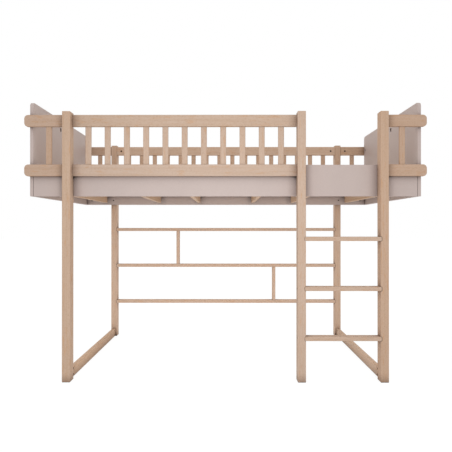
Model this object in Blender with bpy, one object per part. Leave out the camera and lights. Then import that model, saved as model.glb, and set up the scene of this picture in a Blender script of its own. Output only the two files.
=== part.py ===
"""Loft bed for a 90 x 200 cm mattress: beech frame, painted side boards and end panels.

Metres, Z up. X runs along the bed, Y runs across it, and the ladder is on the -Y side.
The origin is on the floor, under the middle of the bed. Nothing on the bed moves.
"""

import math

import bmesh
import bpy
from mathutils import Matrix, Vector

# Space for the mattress
INNER_LENGTH = 2.024
INNER_WIDTH = 0.920

# Clearances, and how far a cutter passes the face that it opens
FIT_GAP = 0.0003
BOARD_END_GAP = 0.0008
CUT_OVERRUN = 0.002

# Posts. The inset is from an end panel's inner face to a corner post's middle, the rise is over the top
# rails, and the spacing is between the middles of the ladder's stiles
POST_WIDTH = 0.042
POST_DEPTH = 0.057
POST_RISE = 0.0105
CORNER_POST_INSET = 0.1917
STILE_SPACING = 0.4259
POST_EDGE = 0.003

# Painted side boards
BOARD_THICKNESS = 0.018
BOARD_HEIGHT = 0.166
BOARD_BOTTOM = 0.9615
BOARD_EDGE = 0.0015

# Painted end panels, each with two round holes. The rise is over the top rails
PANEL_THICKNESS = 0.018
PANEL_RISE = 0.071
PANEL_CORNER = 0.020
PANEL_EDGE = 0.002
PANEL_HOLE_DIAMETER = 0.024
PANEL_HOLE_OFFSET = 0.076
PANEL_HOLE_DROP = 0.063

# Guard rails, which run on past the end panels
RAIL_HEIGHT = 0.062
RAIL_THICKNESS = 0.019
RAIL_OVERHANG = 0.023
RAIL_END_CORNER = 0.020
RAIL_EDGE = 0.003
GUARD_HEIGHT = 0.2595

# Balusters, and the tenons that hold them in the rails. A margin is from a post's side to the middle of
# the first baluster, and the inset is from an end panel's inner face to the end section's baluster
BALUSTER_WIDTH = 0.031
BALUSTER_THICKNESS = 0.012
BALUSTER_EDGE = 0.004
FRONT_BALUSTER_COUNT = 11
FRONT_BALUSTER_MARGIN = 0.0813
BACK_BALUSTER_COUNT = 16
BACK_BALUSTER_MARGIN = 0.086
END_BALUSTER_INSET = 0.087
TENON_WIDTH = 0.021
TENON_THICKNESS = 0.006
TENON_LENGTH = 0.008
MORTISE_EXTRA = 0.001

# Ladder rungs, let into notches in the front of the stiles
RUNG_THICKNESS = 0.022
RUNG_DEPTH = 0.044
RUNG_PITCH = 0.2570
BOTTOM_RUNG_Z = 0.2246
RUNG_NAMES = ("bottom", "middle", "top")
RUNG_END_CORNER = 0.005
RUNG_EDGE = 0.003
RUNG_HOUSING_DEPTH = 0.0068
HOUSING_CLEARANCE = 0.0009

# Foot stretchers
STRETCHER_THICKNESS = 0.022
STRETCHER_HEIGHT = 0.0545
STRETCHER_LIFT = 0.003
STRETCHER_EDGE = 0.003

# Bars between the back posts, let into notches in the posts' front, and the dividers between the bars.
# The divider's inset is from a corner post's middle
WALL_BAR_THICKNESS = 0.022
WALL_BAR_DEPTH = 0.044
WALL_BAR_PITCH = 0.2637
BOTTOM_WALL_BAR_Z = 0.2539
WALL_BAR_NAMES = ("bottom", "middle", "top")
WALL_BAR_END_CORNER = 0.005
WALL_BAR_EDGE = 0.0025
WALL_BAR_HOUSING_DEPTH = 0.0058
DIVIDER_INSET = 0.4683

# Bed base: ledgers on the boards, and slotted plates with bearers under them
LEDGER_WIDTH = 0.020
LEDGER_HEIGHT = 0.022
LEDGER_LIFT = 0.063
LEDGER_EDGE = 0.001
BASE_PLATE_NAMES = ("left", "middle", "right")
BASE_PLATE_THICKNESS = 0.015
BASE_PLATE_GAP = 0.002
BASE_PLATE_EDGE = 0.001
SLOTS_EACH_SIDE = 3
SLOT_WIDTH = 0.036
SLOT_BAR_WIDTH = 0.0615
SLOT_END_MARGIN = 0.055
BEARER_THICKNESS = 0.022
BEARER_LIFT = 0.0135
BEARER_END_GAP = 0.002
BEARER_EDGE = 0.002

# Holes for the barrel nuts and studs that join rails and stretchers to the posts
NUT_HOLE_DIAMETER = 0.012
NUT_HOLE_DEPTH = 0.0165
STRETCHER_NUT_HOLE_DEPTH = 0.018
NUT_INSET = 0.031
STRETCHER_NUT_PITCH = 0.032
STUD_HOLE_DIAMETER = 0.0066
STUD_HOLE_REACH = 0.040
STUD_HOLE_POST_DEPTH = 0.030

# Holes for the bolts from the boards into the posts
BOARD_BOLT_LIFT = 0.0325
BOARD_BOLT_PITCH = 0.064
BOARD_BOLT_SINK_DIAMETER = 0.009
BOARD_BOLT_SINK_DEPTH = 0.007
BOARD_BOLT_HOLE_DEPTH = 0.048

# Holes for the bolts from the posts into the rungs and the wall bars
END_BOLT_SINK_DIAMETER = 0.0116
END_BOLT_SINK_DEPTH = 0.0048
END_BOLT_HOLE_DEPTH = 0.076
BOLT_HOLE_DIAMETER = 0.0066

# Holes for the cam locks at the end panels, and for their pins
CAM_HOLE_DIAMETER = 0.0152
CAM_HOLE_DEPTH = 0.0128
CAM_INSET = 0.034
PIN_HOLE_DIAMETER = 0.0066
PIN_HOLE_DEPTH = 0.010

# Facets
EDGE_STEPS = 2
CORNER_STEPS = 4
SHANK_SIDES = 6
NUT_SIDES = 8
CAM_SIDES = 12
ROUND_HOLE_SIDES = 20
SMOOTH_ANGLE = math.radians(40)
MERGE_DISTANCE = 0.000001

FRONT = -1
BACK = 1
SIDE_NAMES = {FRONT: "front", BACK: "back"}
END_NAMES = {-1: "left", 1: "right"}

# Planes, as distances from the bed's middle
BOARD_INNER_Y = INNER_WIDTH / 2
BOARD_MIDDLE_Y = BOARD_INNER_Y + BOARD_THICKNESS / 2
BOARD_OUTER_Y = BOARD_INNER_Y + BOARD_THICKNESS
POST_INNER_Y = BOARD_OUTER_Y + FIT_GAP
POST_OUTER_Y = POST_INNER_Y + POST_DEPTH
RAIL_MIDDLE_Y = POST_INNER_Y + RAIL_THICKNESS / 2
RAIL_OUTER_Y = POST_INNER_Y + RAIL_THICKNESS
LEDGER_OUTER_Y = BOARD_INNER_Y - FIT_GAP
LEDGER_INNER_Y = LEDGER_OUTER_Y - LEDGER_WIDTH
RUNG_MIDDLE_Y = POST_OUTER_Y - RUNG_DEPTH / 2
WALL_BAR_MIDDLE_Y = POST_INNER_Y + WALL_BAR_DEPTH / 2
PANEL_INNER_X = INNER_LENGTH / 2
PANEL_MIDDLE_X = PANEL_INNER_X + PANEL_THICKNESS / 2
PANEL_OUTER_X = PANEL_INNER_X + PANEL_THICKNESS
BOARD_END_X = PANEL_INNER_X - BOARD_END_GAP
RAIL_END_X = PANEL_OUTER_X + RAIL_OVERHANG
CORNER_POST_X = PANEL_INNER_X - CORNER_POST_INSET
MIDDLE_POST_X = CORNER_POST_X - STILE_SPACING
END_BALUSTER_X = PANEL_INNER_X - END_BALUSTER_INSET
DIVIDER_X = CORNER_POST_X - DIVIDER_INSET
HALF_POST = POST_WIDTH / 2

# Levels above the floor
BOARD_TOP = BOARD_BOTTOM + BOARD_HEIGHT
RAIL_TOPS = {"lower": BOARD_TOP, "upper": BOARD_TOP + GUARD_HEIGHT}
POST_HEIGHT = RAIL_TOPS["upper"] + POST_RISE
PANEL_TOP = RAIL_TOPS["upper"] + PANEL_RISE
LEDGER_BOTTOM = BOARD_BOTTOM + LEDGER_LIFT
LEDGER_TOP = LEDGER_BOTTOM + LEDGER_HEIGHT
BASE_BOTTOM = LEDGER_TOP + FIT_GAP
BASE_TOP = BASE_BOTTOM + BASE_PLATE_THICKNESS
RUNG_ZS = [BOTTOM_RUNG_Z + RUNG_PITCH * i for i in range(len(RUNG_NAMES))]
WALL_BAR_ZS = [BOTTOM_WALL_BAR_Z + WALL_BAR_PITCH * i for i in range(len(WALL_BAR_NAMES))]
BOARD_FIXING_ZS = [BOARD_BOTTOM + BOARD_BOLT_LIFT + BOARD_BOLT_PITCH * i for i in range(2)]
STRETCHER_MIDDLE_Z = STRETCHER_LIFT + STRETCHER_HEIGHT / 2
STRETCHER_NUT_ZS = [STRETCHER_MIDDLE_Z + s * STRETCHER_NUT_PITCH / 2 for s in (-1, 1)]

# Each post's centre in X and its side of the bed
POSTS = {
    "front_left_post": (-CORNER_POST_X, FRONT),
    "front_middle_post": (MIDDLE_POST_X, FRONT),
    "front_right_post": (CORNER_POST_X, FRONT),
    "back_left_post": (-CORNER_POST_X, BACK),
    "back_right_post": (CORNER_POST_X, BACK),
}
# The posts that are the ladder's stiles, and which way each one's outer face looks
STILES = {"front_middle_post": -1, "front_right_post": 1}

# The rails between posts: name ending, the post at the lower X and the one at the higher X, if any
LEFT_END = ("_left_end", None, -CORNER_POST_X)
RIGHT_END = ("_right_end", CORNER_POST_X, None)
RAIL_PIECES = {
    FRONT: (LEFT_END, ("", -CORNER_POST_X, MIDDLE_POST_X), RIGHT_END),
    BACK: (LEFT_END, ("", -CORNER_POST_X, CORNER_POST_X), RIGHT_END),
}

# For each axis, the two axes of a section across it, in right-handed order, and the axis itself
AXES = {"X": (1, 2, 0), "Y": (2, 0, 1), "Z": (0, 1, 2)}


def linear(channel):
    """One sRGB channel, 0 to 1, as a linear value."""
    return channel / 12.92 if channel <= 0.04045 else ((channel + 0.055) / 1.055) ** 2.4


def material(name, hex_colour, roughness):
    made = bpy.data.materials.new(name)
    made.use_nodes = True
    shader = made.node_tree.nodes["Principled BSDF"]
    channels = [int(hex_colour[i : i + 2], 16) / 255 for i in (0, 2, 4)]
    colour = [linear(c) for c in channels] + [1.0]
    shader.inputs["Base Color"].default_value = colour
    shader.inputs["Roughness"].default_value = roughness
    shader.inputs["Metallic"].default_value = 0.0
    made.diffuse_color = colour
    return made


def mesh_of(name, bm):
    """Makes a mesh of bm, with its doubles merged, its faces outwards and its round faces smooth."""
    bmesh.ops.remove_doubles(bm, verts=bm.verts, dist=MERGE_DISTANCE)
    bmesh.ops.recalc_face_normals(bm, faces=bm.faces)
    mesh = bpy.data.meshes.new(name)
    bm.to_mesh(mesh)
    bm.free()
    mesh.shade_smooth()
    mesh.set_sharp_from_angle(angle=SMOOTH_ANGLE)
    return mesh


def add_object(name, mesh, location=(0, 0, 0)):
    made = bpy.data.objects.new(name, mesh)
    made.location = location
    made.parent = BED
    bpy.context.scene.collection.objects.link(made)
    return made


def combine(piece, bm, ending, operation="DIFFERENCE"):
    """Cuts the closed shapes in bm, given in bed coordinates, out of a piece, or joins them to it."""
    tool = add_object(piece.name + ending, mesh_of(piece.name + ending, bm))
    tool.hide_render = True
    tool.display_type = "WIRE"
    modifier = piece.modifiers.new(ending.strip("_"), "BOOLEAN")
    modifier.operation = operation
    modifier.solver = "EXACT"
    modifier.object = tool


def rounded_rectangle(low, high, radii, steps, inset=0.0):
    """Anticlockwise points of a rectangle with a radius at each corner, drawn in all round by inset."""
    corners = ((high[0], low[1], -1), (high[0], high[1], 0), (low[0], high[1], 1), (low[0], low[1], 2))
    points = []
    for (u, v, quarter), radius in zip(corners, radii):
        left = max(radius - inset, 0)
        centre_u = u + (-1 if u == high[0] else 1) * (inset + left)
        centre_v = v + (-1 if v == high[1] else 1) * (inset + left)
        for step in range(steps + 1):
            angle = (quarter + step / steps) * math.pi / 2
            points.append((centre_u + left * math.cos(angle), centre_v + left * math.sin(angle)))
    return points


def loft(bm, axis, rings):
    """Closes a solid over rings of equal length. Each ring is a position along the axis and its outline."""
    first, second, along = AXES[axis]
    loops = []
    for position, outline in rings:
        loop = []
        for u, v in outline:
            place = [0, 0, 0]
            place[first], place[second], place[along] = u, v, position
            loop.append(bm.verts.new(place))
        loops.append(loop)
    for lower, upper in zip(loops, loops[1:]):
        for i in range(len(lower)):
            j = (i + 1) % len(lower)
            bm.faces.new((lower[i], lower[j], upper[j], upper[i]))
    bm.faces.new(list(reversed(loops[0])))
    bm.faces.new(loops[-1])


def add_bar(bm, axis, low, high, corner, rim, steps=EDGE_STEPS, corner_steps=None):
    """A bar along an axis, filling the box from low to high. Its long edges are rounded by corner, which
    is one radius or one for each corner of the section, and the edges of its two ends by rim."""
    first, second, along = AXES[axis]
    radii = corner if isinstance(corner, tuple) else (corner,) * 4
    section = (low[first], low[second]), (high[first], high[second])
    turns = [step / steps * math.pi / 2 for step in range(steps + 1)]
    insets = [rim * (1 - math.sin(turn)) for turn in turns]
    rises = [rim * (1 - math.cos(turn)) for turn in turns]
    outlines = [rounded_rectangle(*section, radii, corner_steps or steps, inset) for inset in insets]
    rings = [(low[along] + rise, outline) for rise, outline in zip(rises, outlines)]
    rings += [(high[along] - rise, outline) for rise, outline in reversed(list(zip(rises, outlines)))]
    loft(bm, axis, rings)


def bar(name, look, axis, low, high, corner, rim, steps=EDGE_STEPS, corner_steps=None):
    """A rounded bar as an object with its origin at its own middle. Any two opposite corners give its box."""
    low, high = Vector(map(min, low, high)), Vector(map(max, low, high))
    middle = (low + high) / 2
    bm = bmesh.new()
    add_bar(bm, axis, low - middle, high - middle, corner, rim, steps, corner_steps)
    mesh = mesh_of(name, bm)
    mesh.materials.append(look)
    return add_object(name, mesh, middle)


def add_block(bm, low, high):
    """A sharp-edged block."""
    size = Vector(high) - Vector(low)
    place = Matrix.Translation((Vector(low) + Vector(high)) / 2) @ Matrix.Diagonal((*size, 1))
    bmesh.ops.create_cube(bm, size=1, matrix=place)


def add_turned(bm, axis, middle, profile, sides):
    """A turned solid round an axis through middle. Each point of its profile is a position along the axis,
    in bed coordinates, and the diameter there."""
    first, second, _ = AXES[axis]
    rings = []
    for position, diameter in profile:
        outline = []
        for side in range(sides):
            angle = (side + 0.5) * math.tau / sides
            u = middle[first] + diameter / 2 * math.cos(angle)
            v = middle[second] + diameter / 2 * math.sin(angle)
            outline.append((u, v))
        rings.append((position, outline))
    loft(bm, axis, rings)


def add_rod(bm, axis, middle, start, end, diameter, sides=SHANK_SIDES):
    add_turned(bm, axis, middle, ((start, diameter), (end, diameter)), sides)


for old in list(bpy.data.objects):
    bpy.data.objects.remove(old, do_unlink=True)

BED = bpy.data.objects.new("loft_bed", None)
bpy.context.scene.collection.objects.link(BED)

BEECH = material("beech_clear_lacquer", "C8AB92", 0.45)
PAINT = material("painted_board_rose_grey", "CFC3BA", 0.5)
PLYWOOD = material("birch_plywood", "D8C3A5", 0.6)


# Holes that go through more than one piece

def rail_middle_z(level):
    return RAIL_TOPS[level] - RAIL_HEIGHT / 2


def stud_hole_span(post_x, side):
    """X range of the stud hole through a post, into the rails on either side of it. Where the post has
    only one rail, the hole is blind."""
    low, high = post_x + HALF_POST - STUD_HOLE_POST_DEPTH, post_x - HALF_POST + STUD_HOLE_POST_DEPTH
    for _, lower_post, higher_post in RAIL_PIECES[side]:
        if higher_post == post_x:
            low = post_x - HALF_POST - STUD_HOLE_REACH
        if lower_post == post_x:
            high = post_x + HALF_POST + STUD_HOLE_REACH
    return low, high


def add_board_bolt_hole(bm, x, side, z):
    """From the board's inner face into the post, with a sink for the bolt's head."""
    sink = BOARD_INNER_Y + BOARD_BOLT_SINK_DEPTH
    profile = (
        (side * (BOARD_INNER_Y - CUT_OVERRUN), BOARD_BOLT_SINK_DIAMETER),
        (side * sink, BOARD_BOLT_SINK_DIAMETER),
        (side * sink, BOLT_HOLE_DIAMETER),
        (side * (BOARD_INNER_Y + BOARD_BOLT_HOLE_DEPTH), BOLT_HOLE_DIAMETER),
    )
    add_turned(bm, "Y", (x, 0, z), profile, NUT_SIDES)


def add_end_bolt_hole(bm, post_x, outwards, y, z):
    """From a post's outer side into the end of a rung or wall bar, with a sink for the bolt's head."""
    face = post_x + outwards * HALF_POST
    sink = face - outwards * END_BOLT_SINK_DEPTH
    profile = (
        (face + outwards * CUT_OVERRUN, END_BOLT_SINK_DIAMETER),
        (sink, END_BOLT_SINK_DIAMETER),
        (sink, BOLT_HOLE_DIAMETER),
        (face - outwards * END_BOLT_HOLE_DEPTH, BOLT_HOLE_DIAMETER),
    )
    add_turned(bm, "X", (0, y, z), profile, NUT_SIDES)


# Posts

def add_housing(bm, post_x, outwards, depth, y_span, z, thickness, end_corner):
    """The round-cornered notch in a post's inner side that takes the end of a rung or wall bar."""
    face = post_x - outwards * HALF_POST
    half = thickness / 2 + HOUSING_CLEARANCE
    corner = end_corner + HOUSING_CLEARANCE
    low_x, high_x = sorted((face - outwards * CUT_OVERRUN, face + outwards * depth))
    # Across Y a section is drawn with Z first, so its corners start at the top of the lower X
    radii = (0, corner, corner, 0) if outwards > 0 else (corner, 0, 0, corner)
    low, high = (low_x, y_span[0], z - half), (high_x, y_span[1], z + half)
    add_bar(bm, "Y", low, high, radii, 0, 1, CORNER_STEPS)


# Each kind of notch starts at a face that looks to the front and ends behind the rung or bar
STILE_NOTCH = (-POST_OUTER_Y - CUT_OVERRUN, RUNG_DEPTH + HOUSING_CLEARANCE - POST_OUTER_Y)
BACK_NOTCH = (POST_INNER_Y - CUT_OVERRUN, POST_INNER_Y + WALL_BAR_DEPTH + HOUSING_CLEARANCE)


for post_name, (post_x, side) in POSTS.items():
    post = bar(
        post_name,
        BEECH,
        "Z",
        (post_x - HALF_POST, side * POST_INNER_Y, 0),
        (post_x + HALF_POST, side * POST_OUTER_Y, POST_HEIGHT),
        POST_EDGE,
        POST_EDGE,
    )
    holes = bmesh.new()
    for rail_level in RAIL_TOPS:
        stud_line = (0, side * RAIL_MIDDLE_Y, rail_middle_z(rail_level))
        add_rod(holes, "X", stud_line, *stud_hole_span(post_x, side), STUD_HOLE_DIAMETER)
    for z in BOARD_FIXING_ZS:
        add_board_bolt_hole(holes, post_x, side, z)
    housings = bmesh.new()
    if post_name in STILES:
        for z in RUNG_ZS:
            rung_notch = (RUNG_HOUSING_DEPTH, STILE_NOTCH, z, RUNG_THICKNESS, RUNG_END_CORNER)
            add_housing(housings, post_x, STILES[post_name], *rung_notch)
            add_end_bolt_hole(holes, post_x, STILES[post_name], -RUNG_MIDDLE_Y, z)
    if side == BACK:
        outwards = math.copysign(1, post_x)
        for z in WALL_BAR_ZS:
            bar_notch = (WALL_BAR_HOUSING_DEPTH, BACK_NOTCH, z, WALL_BAR_THICKNESS, WALL_BAR_END_CORNER)
            add_housing(housings, post_x, outwards, *bar_notch)
            add_end_bolt_hole(holes, post_x, outwards, WALL_BAR_MIDDLE_Y, z)
    if housings.verts:
        combine(post, housings, "_housings")
    if abs(post_x) == CORNER_POST_X:
        for z in STRETCHER_NUT_ZS:
            start = side * (POST_INNER_Y - CUT_OVERRUN)
            finish = side * (POST_INNER_Y + STUD_HOLE_POST_DEPTH)
            add_rod(holes, "Y", (post_x, 0, z), start, finish, STUD_HOLE_DIAMETER)
    combine(post, holes, "_holes")


# Ladder rungs between the stiles

rung_reach = RUNG_HOUSING_DEPTH - HOUSING_CLEARANCE
for rung_name, rung_z in zip(RUNG_NAMES, RUNG_ZS):
    rung = bar(
        "ladder_rung_" + rung_name,
        BEECH,
        "Y",
        (MIDDLE_POST_X + HALF_POST - rung_reach, -POST_OUTER_Y, rung_z - RUNG_THICKNESS / 2),
        (CORNER_POST_X - HALF_POST + rung_reach, RUNG_DEPTH - POST_OUTER_Y, rung_z + RUNG_THICKNESS / 2),
        RUNG_END_CORNER,
        RUNG_EDGE,
    )
    holes = bmesh.new()
    for stile, outwards in STILES.items():
        add_end_bolt_hole(holes, POSTS[stile][0], outwards, -RUNG_MIDDLE_Y, rung_z)
    combine(rung, holes, "_holes")


# Foot stretchers, one at each end, between the front and back posts

stretcher_reach = POST_INNER_Y - FIT_GAP
for end, end_name in END_NAMES.items():
    stretcher_x = end * CORNER_POST_X
    inner_face = stretcher_x - end * STRETCHER_THICKNESS / 2
    outer_face = stretcher_x + end * STRETCHER_THICKNESS / 2
    stretcher = bar(
        "foot_stretcher_" + end_name,
        BEECH,
        "Y",
        (inner_face, -stretcher_reach, STRETCHER_LIFT),
        (outer_face, stretcher_reach, STRETCHER_LIFT + STRETCHER_HEIGHT),
        STRETCHER_EDGE,
        FIT_GAP,
    )
    nut_holes = bmesh.new()
    stud_holes = bmesh.new()
    opening = inner_face - end * CUT_OVERRUN
    bottom = inner_face + end * STRETCHER_NUT_HOLE_DEPTH
    for side in SIDE_NAMES:
        for z in STRETCHER_NUT_ZS:
            nut_line = (0, side * (POST_INNER_Y - NUT_INSET), z)
            add_rod(nut_holes, "X", nut_line, opening, bottom, NUT_HOLE_DIAMETER, NUT_SIDES)
            start = side * (POST_INNER_Y - STUD_HOLE_REACH)
            finish = side * (POST_INNER_Y + CUT_OVERRUN)
            add_rod(stud_holes, "Y", (stretcher_x, 0, z), start, finish, STUD_HOLE_DIAMETER)
    combine(stretcher, nut_holes, "_nut_holes")
    combine(stretcher, stud_holes, "_stud_holes")


# Guard rails: at each level of each side, a main piece between posts and two end pieces with rounded ends

MAIN_BALUSTERS = {
    FRONT: (FRONT_BALUSTER_COUNT, FRONT_BALUSTER_MARGIN, MIDDLE_POST_X),
    BACK: (BACK_BALUSTER_COUNT, BACK_BALUSTER_MARGIN, CORNER_POST_X),
}


def baluster_xs(side):
    """Where the balusters of a side's main rails stand, at equal steps between the margins."""
    count, margin, last_post = MAIN_BALUSTERS[side]
    first = HALF_POST + margin - CORNER_POST_X
    last = last_post - HALF_POST - margin
    return [first + (last - first) * i / (count - 1) for i in range(count)]


def add_mortise(bm, side, level, x):
    """The slot in a rail's edge that takes a baluster's tenon."""
    half_wide = TENON_WIDTH / 2 + FIT_GAP
    half_thick = TENON_THICKNESS / 2 + FIT_GAP
    depth = TENON_LENGTH + MORTISE_EXTRA
    y = side * RAIL_MIDDLE_Y
    rail_bottom = RAIL_TOPS[level] - RAIL_HEIGHT
    lower = level == "lower"
    low_z = RAIL_TOPS[level] - depth if lower else rail_bottom - CUT_OVERRUN
    high_z = RAIL_TOPS[level] + CUT_OVERRUN if lower else rail_bottom + depth
    add_block(bm, (x - half_wide, y - half_thick, low_z), (x + half_wide, y + half_thick, high_z))


def add_baluster(bm, x, y, glued):
    """A baluster between the rails. Its foot is a tenon, or is whole and runs into the rail if glued."""
    foot = RAIL_TOPS["lower"] + FIT_GAP
    head = RAIL_TOPS["upper"] - RAIL_HEIGHT - FIT_GAP
    half_wide, half_thick = BALUSTER_WIDTH / 2, BALUSTER_THICKNESS / 2
    low, high = (x - half_wide, y - half_thick), (x + half_wide, y + half_thick)
    section = rounded_rectangle(low, high, (BALUSTER_EDGE,) * 4, EDGE_STEPS)
    half_tenon, half_tongue = TENON_WIDTH / 2, TENON_THICKNESS / 2
    low, high = (x - half_tenon, y - half_tongue), (x + half_tenon, y + half_tongue)
    tenon = rounded_rectangle(low, high, (0,) * 4, EDGE_STEPS)
    rings = [(foot - TENON_LENGTH, section)]
    if not glued:
        rings = [(foot - TENON_LENGTH, tenon), (foot, tenon), (foot, section)]
    rings += [(head, section), (head, tenon), (head + TENON_LENGTH, tenon)]
    loft(bm, "Z", rings)


def make_rail(side, level, ending, lower_post, higher_post):
    low_x = -RAIL_END_X if lower_post is None else lower_post + HALF_POST + FIT_GAP
    high_x = RAIL_END_X if higher_post is None else higher_post - HALF_POST - FIT_GAP
    name = SIDE_NAMES[side] + "_" + level + "_rail" + ending
    low = (low_x, side * POST_INNER_Y, RAIL_TOPS[level] - RAIL_HEIGHT)
    high = (high_x, side * RAIL_OUTER_Y, RAIL_TOPS[level])
    is_main = ending == ""
    if is_main:
        rail = bar(name, BEECH, "X", low, high, RAIL_EDGE, FIT_GAP)
    else:
        # Across Y a section is drawn with Z first, so its corners start at the top of the lower X
        at_low = RAIL_END_CORNER if lower_post is None else FIT_GAP
        at_high = RAIL_END_CORNER if higher_post is None else FIT_GAP
        radii = (at_low, at_high, at_high, at_low)
        rail = bar(name, BEECH, "Y", low, high, radii, RAIL_EDGE, EDGE_STEPS, CORNER_STEPS)

    middle_z = rail_middle_z(level)
    pockets = bmesh.new()
    stud_holes = bmesh.new()
    opening = side * (POST_INNER_Y - CUT_OVERRUN)
    for post_x, inwards in ((lower_post, 1), (higher_post, -1)):
        if post_x is None:
            pin_line = (-inwards * PANEL_MIDDLE_X, 0, middle_z)
            bottom = side * (POST_INNER_Y + PIN_HOLE_DEPTH)
            add_rod(pockets, "Y", pin_line, opening, bottom, PIN_HOLE_DIAMETER)
        else:
            face = post_x + inwards * HALF_POST
            nut_line = (face + inwards * NUT_INSET, 0, middle_z)
            bottom = side * (POST_INNER_Y + NUT_HOLE_DEPTH)
            add_rod(pockets, "Y", nut_line, opening, bottom, NUT_HOLE_DIAMETER, NUT_SIDES)
            stud_line = (0, side * RAIL_MIDDLE_Y, middle_z)
            start, finish = face, face + inwards * STUD_HOLE_REACH
            add_rod(stud_holes, "X", stud_line, start, finish, STUD_HOLE_DIAMETER)
    glued = side == BACK and level == "lower" and is_main
    for x in baluster_xs(side) if is_main and not glued else (-END_BALUSTER_X, END_BALUSTER_X):
        if low_x < x < high_x:
            add_mortise(pockets, side, level, x)
    combine(rail, pockets, "_pockets")
    combine(rail, stud_holes, "_stud_holes")
    if glued:
        balusters = bmesh.new()
        for x in baluster_xs(side):
            add_baluster(balusters, x, side * RAIL_MIDDLE_Y, glued)
        combine(rail, balusters, "_balusters", "UNION")


for side, pieces in RAIL_PIECES.items():
    for rail_level in RAIL_TOPS:
        for rail_piece in pieces:
            make_rail(side, rail_level, *rail_piece)


# Balusters tenoned into both rails: the front guard's, and one in each end section

baluster = bmesh.new()
add_baluster(baluster, 0, 0, glued=False)
baluster_mesh = mesh_of("baluster", baluster)
baluster_mesh.materials.append(BEECH)
for i, x in enumerate(baluster_xs(FRONT)):
    add_object(f"front_baluster_{i + 1:02}", baluster_mesh, (x, FRONT * RAIL_MIDDLE_Y, 0))
for side, side_name in SIDE_NAMES.items():
    for end, end_name in END_NAMES.items():
        place = (end * END_BALUSTER_X, side * RAIL_MIDDLE_Y, 0)
        add_object(f"end_baluster_{side_name}_{end_name}", baluster_mesh, place)


# Side boards between the end panels, bolted to the posts

for side, side_name in SIDE_NAMES.items():
    board = bar(
        side_name + "_side_board",
        PAINT,
        "X",
        (-BOARD_END_X, side * BOARD_INNER_Y, BOARD_BOTTOM),
        (BOARD_END_X, side * BOARD_OUTER_Y, BOARD_TOP),
        BOARD_EDGE,
        BOARD_EDGE,
    )
    face_holes = bmesh.new()
    pin_holes = bmesh.new()
    for post_x, post_side in POSTS.values():
        if post_side == side:
            for z in BOARD_FIXING_ZS:
                add_board_bolt_hole(face_holes, post_x, side, z)
    for end in END_NAMES:
        cam_x = end * (BOARD_END_X - CAM_INSET)
        for z in BOARD_FIXING_ZS:
            start = side * (BOARD_INNER_Y - CUT_OVERRUN)
            finish = side * (BOARD_INNER_Y + CAM_HOLE_DEPTH)
            add_rod(face_holes, "Y", (cam_x, 0, z), start, finish, CAM_HOLE_DIAMETER, CAM_SIDES)
            pin_line = (0, side * BOARD_MIDDLE_Y, z)
            finish = end * (BOARD_END_X + CUT_OVERRUN)
            add_rod(pin_holes, "X", pin_line, cam_x, finish, PIN_HOLE_DIAMETER)
    combine(board, face_holes, "_face_holes")
    combine(board, pin_holes, "_pin_holes")


# End panels, held to the rails by their edges and to the boards by their faces

for end, end_name in END_NAMES.items():
    panel = bar(
        "end_panel_" + end_name,
        PAINT,
        "X",
        (end * PANEL_INNER_X, -BOARD_OUTER_Y, BOARD_BOTTOM),
        (end * PANEL_OUTER_X, BOARD_OUTER_Y, PANEL_TOP),
        (PANEL_EDGE, PANEL_CORNER, PANEL_CORNER, PANEL_EDGE),
        PANEL_EDGE,
        EDGE_STEPS,
        CORNER_STEPS,
    )
    face_holes = bmesh.new()
    pin_holes = bmesh.new()
    opening = end * (PANEL_INNER_X - CUT_OVERRUN)
    outside = end * (PANEL_OUTER_X + CUT_OVERRUN)
    for side in SIDE_NAMES:
        round_hole_line = (0, side * PANEL_HOLE_OFFSET, PANEL_TOP - PANEL_HOLE_DROP)
        add_rod(face_holes, "X", round_hole_line, opening, outside, PANEL_HOLE_DIAMETER, ROUND_HOLE_SIDES)
        cam_y = side * (BOARD_OUTER_Y - CAM_INSET)
        for rail_level in RAIL_TOPS:
            z = rail_middle_z(rail_level)
            bottom = end * (PANEL_INNER_X + CAM_HOLE_DEPTH)
            add_rod(face_holes, "X", (0, cam_y, z), opening, bottom, CAM_HOLE_DIAMETER, CAM_SIDES)
            pin_line = (end * PANEL_MIDDLE_X, 0, z)
            finish = side * (BOARD_OUTER_Y + CUT_OVERRUN)
            add_rod(pin_holes, "Y", pin_line, cam_y, finish, PIN_HOLE_DIAMETER)
        for z in BOARD_FIXING_ZS:
            bottom = end * (PANEL_INNER_X + PIN_HOLE_DEPTH)
            pin_line = (0, side * BOARD_MIDDLE_Y, z)
            add_rod(face_holes, "X", pin_line, opening, bottom, PIN_HOLE_DIAMETER)
    combine(panel, face_holes, "_face_holes")
    combine(panel, pin_holes, "_pin_holes")


# Bars and dividers between the back posts

wall_bar_reach = CORNER_POST_X - HALF_POST + WALL_BAR_HOUSING_DEPTH - HOUSING_CLEARANCE
half_bar = WALL_BAR_THICKNESS / 2
wall_bar_back = POST_INNER_Y + WALL_BAR_DEPTH
for bar_name, bar_z in zip(WALL_BAR_NAMES, WALL_BAR_ZS):
    wall_bar = bar(
        "wall_bar_" + bar_name,
        BEECH,
        "Y",
        (-wall_bar_reach, POST_INNER_Y, bar_z - half_bar),
        (wall_bar_reach, wall_bar_back, bar_z + half_bar),
        WALL_BAR_END_CORNER,
        WALL_BAR_EDGE,
    )
    holes = bmesh.new()
    for end in END_NAMES:
        add_end_bolt_hole(holes, end * CORNER_POST_X, end, WALL_BAR_MIDDLE_Y, bar_z)
    combine(wall_bar, holes, "_holes")

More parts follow.
